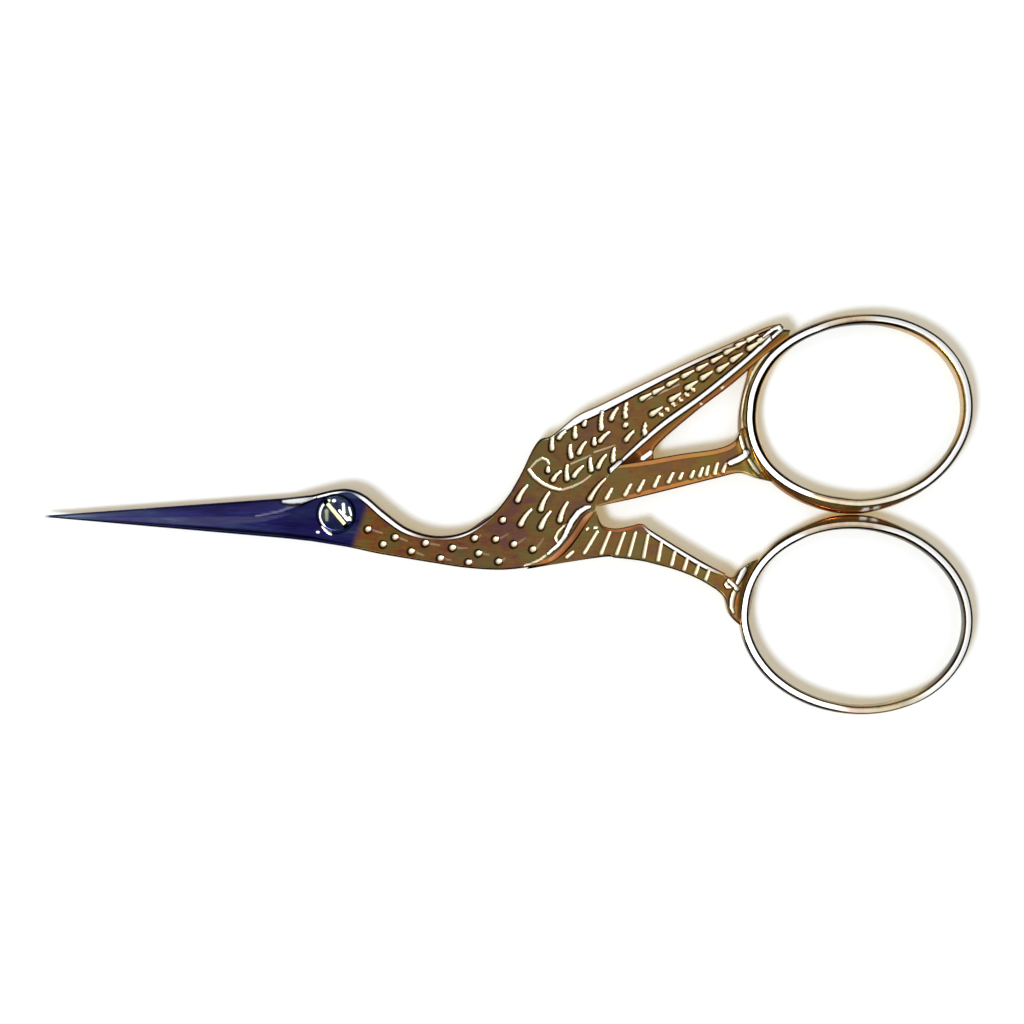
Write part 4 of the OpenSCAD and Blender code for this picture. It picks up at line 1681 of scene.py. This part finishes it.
@dataclass(frozen=True)
class PolishedMetal:
    """A polished metal whose tints drift in clouds, with the tools' traces and painted highlights
    and shade.

    Attributes:
        name: The material's name.
        tints: Colours of the face, from one end of the clouds to the other.
        shine: Colour of the painted highlights on edges and beads.
        cut: Colour of the graver's bright cuts, partly their own pale metal and partly painted
            highlight.
        undercoat: Colour where the plating is thin.
        painted_shade: What painted shade multiplies the colour by.
        roughness: Roughness of the polish.
        waves: Strength of the hand-polished skin's waves.
    """

    name: str
    tints: tuple[str, ...]
    shine: str = "#ffffff"
    cut: str = "#faf0d0"
    undercoat: str = "#c96f36"
    painted_shade: str = "#140e0b"
    roughness: float = 0.16
    waves: float = 0.3

    def faces(self, tree: bpy.types.NodeTree, place: bpy.types.NodeSocket) -> bpy.types.NodeSocket:
        """The face's own colour, before the traces."""
        # clouds of tint about 3 mm across, with a finer mottle about 0.8 mm across
        clouds = add(tree, "ShaderNodeTexNoise", Vector=place, Scale=330.0, Detail=2.0)
        fine = {"Scale": 1250.0, "Detail": 3.0, "Roughness": 0.6}
        mottle = add(tree, "ShaderNodeTexNoise", Vector=place, **fine)
        both = {"i2": clouds.outputs["Fac"], "i3": mottle.outputs["Fac"]}
        mixed = add(tree, "ShaderNodeMix", FLOAT_MIX, i0=0.45, **both)
        stops = spread(self.tints, 0.42, 0.58)
        return ramp(add(tree, "ShaderNodeValToRGB", Fac=mixed.outputs[0]), stops)

    def build(self) -> bpy.types.Material:
        """Builds the material."""
        material = bpy.data.materials.new(self.name)
        material.use_nodes = True
        tree = material.node_tree
        shader = tree.nodes["Principled BSDF"]
        place = add(tree, "ShaderNodeTexCoord").outputs["Object"]
        colour = self.faces(tree, place)
        shares: dict[Trace, bpy.types.NodeSocket] = {}
        # the undercoat, the painted highlights and the bright cuts, which also carry painted
        # highlights, are mixed in, and painted shade is multiplied in
        for trace, tint in (
            (Trace.COPPER, self.undercoat), (Trace.SHINE, self.shine), (Trace.CUT, self.cut),
            (Trace.DARK, self.painted_shade),
        ):
            share = add(tree, "ShaderNodeAttribute", {"attribute_name": trace.value}).outputs["Fac"]
            blend = {**COLOUR_MIX, "blend_type": "MULTIPLY" if trace is Trace.DARK else "MIX"}
            mixed = add(tree, "ShaderNodeMix", blend, i0=share, i6=colour, i7=linear(tint))
            colour = mixed.outputs[2]
            shares[trace] = share
        tree.links.new(colour, shader.inputs["Base Color"])
        # polishing marks: hairlines 0.1 mm apart, drawn coarser than real ones so that they show
        drawn = {"Rotation": (0, 0, 0.5), "Scale": (900.0, 9000.0, 900.0)}
        hair = add(tree, "ShaderNodeMapping", Vector=place, **drawn).outputs["Vector"]
        lines = add(tree, "ShaderNodeTexNoise", Vector=hair, Scale=1.0, Detail=2.0)
        rough = add(tree, "ShaderNodeMapRange", Value=lines.outputs["Fac"])
        rough.inputs["To Min"].default_value = self.roughness - 0.05
        rough.inputs["To Max"].default_value = self.roughness + 0.07
        worn = rough.outputs["Result"]
        for trace, level in WORN.items():
            mixed = add(tree, "ShaderNodeMix", FLOAT_MIX, i0=shares[trace], i2=worn, i3=level)
            worn = mixed.outputs[0]
        tree.links.new(worn, shader.inputs["Roughness"])
        # the wavy skin of a hand-polished forging, with waves about 0.8 mm long
        skin = add(tree, "ShaderNodeTexNoise", Vector=place, Scale=1200.0, Detail=2.0)
        waves = {"Strength": self.waves, "Distance": 0.02 * MM}
        bump = add(tree, "ShaderNodeBump", Height=skin.outputs["Fac"], **waves)
        tree.links.new(bump.outputs["Normal"], shader.inputs["Normal"])
        shader.inputs["Metallic"].default_value = 1.0
        return material


@dataclass(frozen=True)
class HalfPlatedForging(PolishedMetal):
    """Forged steel: polished on the blades, gold-plated from the back of the head on.

    The plating gives a warm bronze-gold face with olive and plum clouds. The bare blade has an
    indigo cast, a painted reflection of the dark surroundings, darker with painted shade where it
    is ground.

    Attributes:
        reflected_indigo: Colours of the blade's streaks, a painted reflection of the dark
            surroundings.
        drift: The plating's tone along the bird, as distance from the pivot in mm and colour.
        plating_starts: Where the plating starts, in mm from the pivot.
        plating_fades: Half the length over which it fades in, in mm.
        plating_slant: How much further back it starts for each mm up the head.
    """

    reflected_indigo: tuple[str, ...] = ("#171a40", "#292365", "#2e3466", "#44547a")
    drift: tuple[tuple[float, str], ...] = (
        (2.5, "#8c561e"), (6.0, "#7c4e2a"), (12.0, "#875840"), (17.0, "#93704a"), (21.0, "#9c8650"),
        (27.0, "#b48e54"), (33.0, "#c69b50"), (40.0, "#cca44c"),
    )
    plating_starts: float = 2.75
    plating_fades: float = 0.45
    plating_slant: float = 0.35

    def faces(self, tree: bpy.types.NodeTree, place: bpy.types.NodeSocket) -> bpy.types.NodeSocket:
        """Blued steel up to the head, and plating past it."""
        clouds = super().faces(tree, place)
        x = add(tree, "ShaderNodeSeparateXYZ", Vector=place).outputs["X"]
        first, last = self.drift[0][0], self.drift[-1][0]
        along_bird = add(tree, "ShaderNodeMapRange", Value=x)
        along_bird.inputs["From Min"].default_value = first * MM
        along_bird.inputs["From Max"].default_value = last * MM
        stops = [((at - first) / (last - first), tint) for at, tint in self.drift]
        tone = ramp(add(tree, "ShaderNodeValToRGB", Fac=along_bird.outputs["Result"]), stops)
        plated = add(tree, "ShaderNodeMix", COLOUR_MIX, i0=0.5, i6=clouds, i7=tone).outputs[2]
        # the blade's painted reflection runs along it in streaks about 10 mm long and 1.5 mm wide
        along = add(tree, "ShaderNodeMapping", Vector=place, Scale=(100.0, 700.0, 300.0))
        ragged = {"Scale": 1.0, "Detail": 5.0, "Roughness": 0.6}
        streaks = add(tree, "ShaderNodeTexNoise", Vector=along.outputs["Vector"], **ragged)
        stops = spread(self.reflected_indigo, 0.34, 0.66)
        steel = ramp(add(tree, "ShaderNodeValToRGB", Fac=streaks.outputs["Fac"]), stops)
        y = add(tree, "ShaderNodeSeparateXYZ", Vector=place).outputs["Y"]
        slope = {"i0": y, "i1": -self.plating_slant, "i2": x}
        slant = add(tree, "ShaderNodeMath", {"operation": "MULTIPLY_ADD"}, **slope).outputs[0]
        start = add(tree, "ShaderNodeMapRange", {"interpolation_type": "SMOOTHSTEP"}, Value=slant)
        for end, side in (("From Min", -1), ("From Max", 1)):
            place_mm = self.plating_starts + side * self.plating_fades
            start.inputs[end].default_value = place_mm * MM
        share = start.outputs["Result"]
        return add(tree, "ShaderNodeMix", COLOUR_MIX, i0=share, i6=steel, i7=plated).outputs[2]


@dataclass(frozen=True)
class PaperGround:
    """Matt white paper: even and pale, with the scissors' soft, faintly warm shadow on it.

    Attributes:
        name: The material's name.
        colour: The paper's colour.
        glow: Colour of the light that it adds where it is seen.
        lift: Strength of that light, which keeps the paper white and the shadow warm.
    """

    name: str = "matt_white_paper"
    colour: str = "#d2e2f7"
    glow: str = "#ffd868"
    lift: float = 0.33

    def build(self) -> bpy.types.Material:
        """Builds the material."""
        material = bpy.data.materials.new(self.name)
        material.use_nodes = True
        tree = material.node_tree
        shader = tree.nodes["Principled BSDF"]
        shader.inputs["Base Color"].default_value = linear(self.colour)
        shader.inputs["Roughness"].default_value = 0.9
        shader.inputs["Specular IOR Level"].default_value = 0.0
        shader.inputs["Emission Color"].default_value = linear(self.glow)
        ray = add(tree, "ShaderNodeLightPath").outputs
        seen = ray["Is Camera Ray"]
        larger = {"operation": "MAXIMUM"}
        for other in ("Is Glossy Ray", "Is Transmission Ray"):
            seen = add(tree, "ShaderNodeMath", larger, i0=seen, i1=ray[other]).outputs[0]
        lift = add(tree, "ShaderNodeMath", {"operation": "MULTIPLY"}, i0=seen, i1=self.lift)
        tree.links.new(lift.outputs[0], shader.inputs["Emission Strength"])
        return material


# --- studio


# Light of the tent by the height of the direction, from 0 at the horizon to 1 straight up, as a
# share of its peak
TENT_PEAK = 1.1
TENT_LEVELS: list[Point] = [
    (0.0, 0.36), (0.3, 0.34), (0.42, 0.14), (0.68, 0.12), (0.79, 0.9), (0.84, 1.0), (0.94, 1.0),
    (0.975, 0.36), (1.0, 0.33),
]


@dataclass
class Studio:
    """The ground, the lights and the camera.

    Attributes:
        centre: The middle of the picture, in mm.
        view_width: What the picture's width takes in, in mm.
        lens: The camera's focal length.
        sensor: The sensor's width.
        ground_level: Height of the paper, just under the lowest face, in mm.
        paper_reach: How far the paper reaches each way, in metres.
        key_place: Where the key softbox hangs, in metres.
        key_size: Its side in metres.
        key_watts: Its power.
    """

    centre: Point = (16.98, 0.19)
    view_width: float = 99.33
    lens: float = 100.0
    sensor: float = 36.0
    ground_level: float = -0.12
    paper_reach: float = 1.5
    key_place: tuple[float, float, float] = (-0.13, -0.16, 0.48)
    key_size: float = 0.12
    key_watts: float = 2.0

    def ground(self) -> None:
        """Lays the sheet of paper."""
        bm = bmesh.new()
        bmesh.ops.create_grid(bm, x_segments=4, y_segments=4, size=self.paper_reach)
        mesh = bpy.data.meshes.new("paper")
        bm.to_mesh(mesh)
        bm.free()
        mesh.materials.append(PaperGround().build())
        paper = bpy.data.objects.new("paper", mesh)
        paper.location.z = self.ground_level * MM
        bpy.context.scene.collection.objects.link(paper)

    def tent(self) -> None:
        """A light tent: a dim opening overhead, a bright ring round it, and softer sides."""
        world = bpy.data.worlds.new("tent")
        world.use_nodes = True
        tree = world.node_tree
        direction = add(tree, "ShaderNodeTexCoord").outputs["Generated"]
        up = add(tree, "ShaderNodeSeparateXYZ", Vector=direction).outputs["Z"]
        level = add(tree, "ShaderNodeFloatCurve", Value=up)
        curve = level.mapping.curves[0]
        for x, y in TENT_LEVELS[1:-1]:
            curve.points.new(x, y)
        for point, (x, y) in zip(sorted(curve.points, key=lambda p: p.location[0]), TENT_LEVELS):
            point.location = (x, y)
            point.handle_type = "VECTOR"
        level.mapping.update()
        scale = {"operation": "MULTIPLY"}
        strength = add(tree, "ShaderNodeMath", scale, i0=level.outputs[0], i1=TENT_PEAK)
        back = tree.nodes["Background"]
        back.inputs["Color"].default_value = (1.0, 1.0, 1.0, 1.0)
        tree.links.new(strength.outputs[0], back.inputs["Strength"])
        bpy.context.scene.world = world

    def lamp(self) -> None:
        """Hangs the key softbox, which faces the scissors."""
        light = bpy.data.lights.new("key_softbox", "AREA")
        light.size = self.key_size
        light.energy = self.key_watts
        lamp = bpy.data.objects.new("key_softbox", light)
        lamp.location = self.key_place
        aim = Vector((self.centre[0] * MM, 0, 0)) - Vector(self.key_place)
        lamp.rotation_euler = aim.to_track_quat("-Z", "Y").to_euler()
        bpy.context.scene.collection.objects.link(lamp)

    def camera(self) -> None:
        """Sets the camera straight above the scissors."""
        data = bpy.data.cameras.new("camera")
        data.lens = self.lens
        data.sensor_width = self.sensor
        data.clip_start = 0.01
        camera = bpy.data.objects.new("camera", data)
        height = self.view_width * MM * self.lens / self.sensor + MID * MM
        camera.location = (self.centre[0] * MM, self.centre[1] * MM, height)
        bpy.context.scene.collection.objects.link(camera)
        bpy.context.scene.camera = camera

    def build(self) -> None:
        """Sets up the whole studio."""
        self.ground()
        self.tent()
        self.lamp()
        self.camera()
        bpy.context.scene.view_settings.view_transform = "Standard"


def dress(piece: bpy.types.Object, material: bpy.types.Material) -> None:
    """Gives a piece its only material."""
    piece.data.materials.clear()
    piece.data.materials.append(material)


def main() -> None:
    """Builds the scissors and the studio, and reports each piece."""
    logging.basicConfig(level=logging.INFO, format="%(name)s: %(message)s")
    # drop-forged steel, hand-polished: its plating clouds to olive and plum as it thins
    forging = HalfPlatedForging(
        "half_plated_forged_steel", ("#8a5260", "#a8633f", "#a9743e", "#988045", "#828755")
    ).build()
    # drawn and forged round steel, gold-plated: smoother and paler than the faces of the bird
    wire = PolishedMetal(
        "gold_plated_round_steel",
        ("#b98a52", "#caa362", "#c2a55f", "#a39350"),
        roughness=0.12,
        waves=0.15,
    ).build()
    # turned steel, unplated: cold and bright, its dark bluish tints a painted reflection of the
    # blade mirrored in it
    steel = PolishedMetal(
        "turned_bright_steel",
        ("#2c3160", "#3d4a6c", "#5c6a68"),
        cut="#d8d8a8",
        painted_shade="#20222c",
        roughness=0.14,
    ).build()
    for half in (FrontHalf(), BackHalf()):
        for piece in half.build():
            dress(piece, wire if "bow" in piece.name else forging)
            LOG.info("%s: %d faces", piece.name, len(piece.data.polygons))
    screw = PivotScrew().build()
    dress(screw, steel)
    LOG.info("%s: %d faces", screw.name, len(screw.data.polygons))
    Studio().build()


if __name__ == "__main__":
    main()
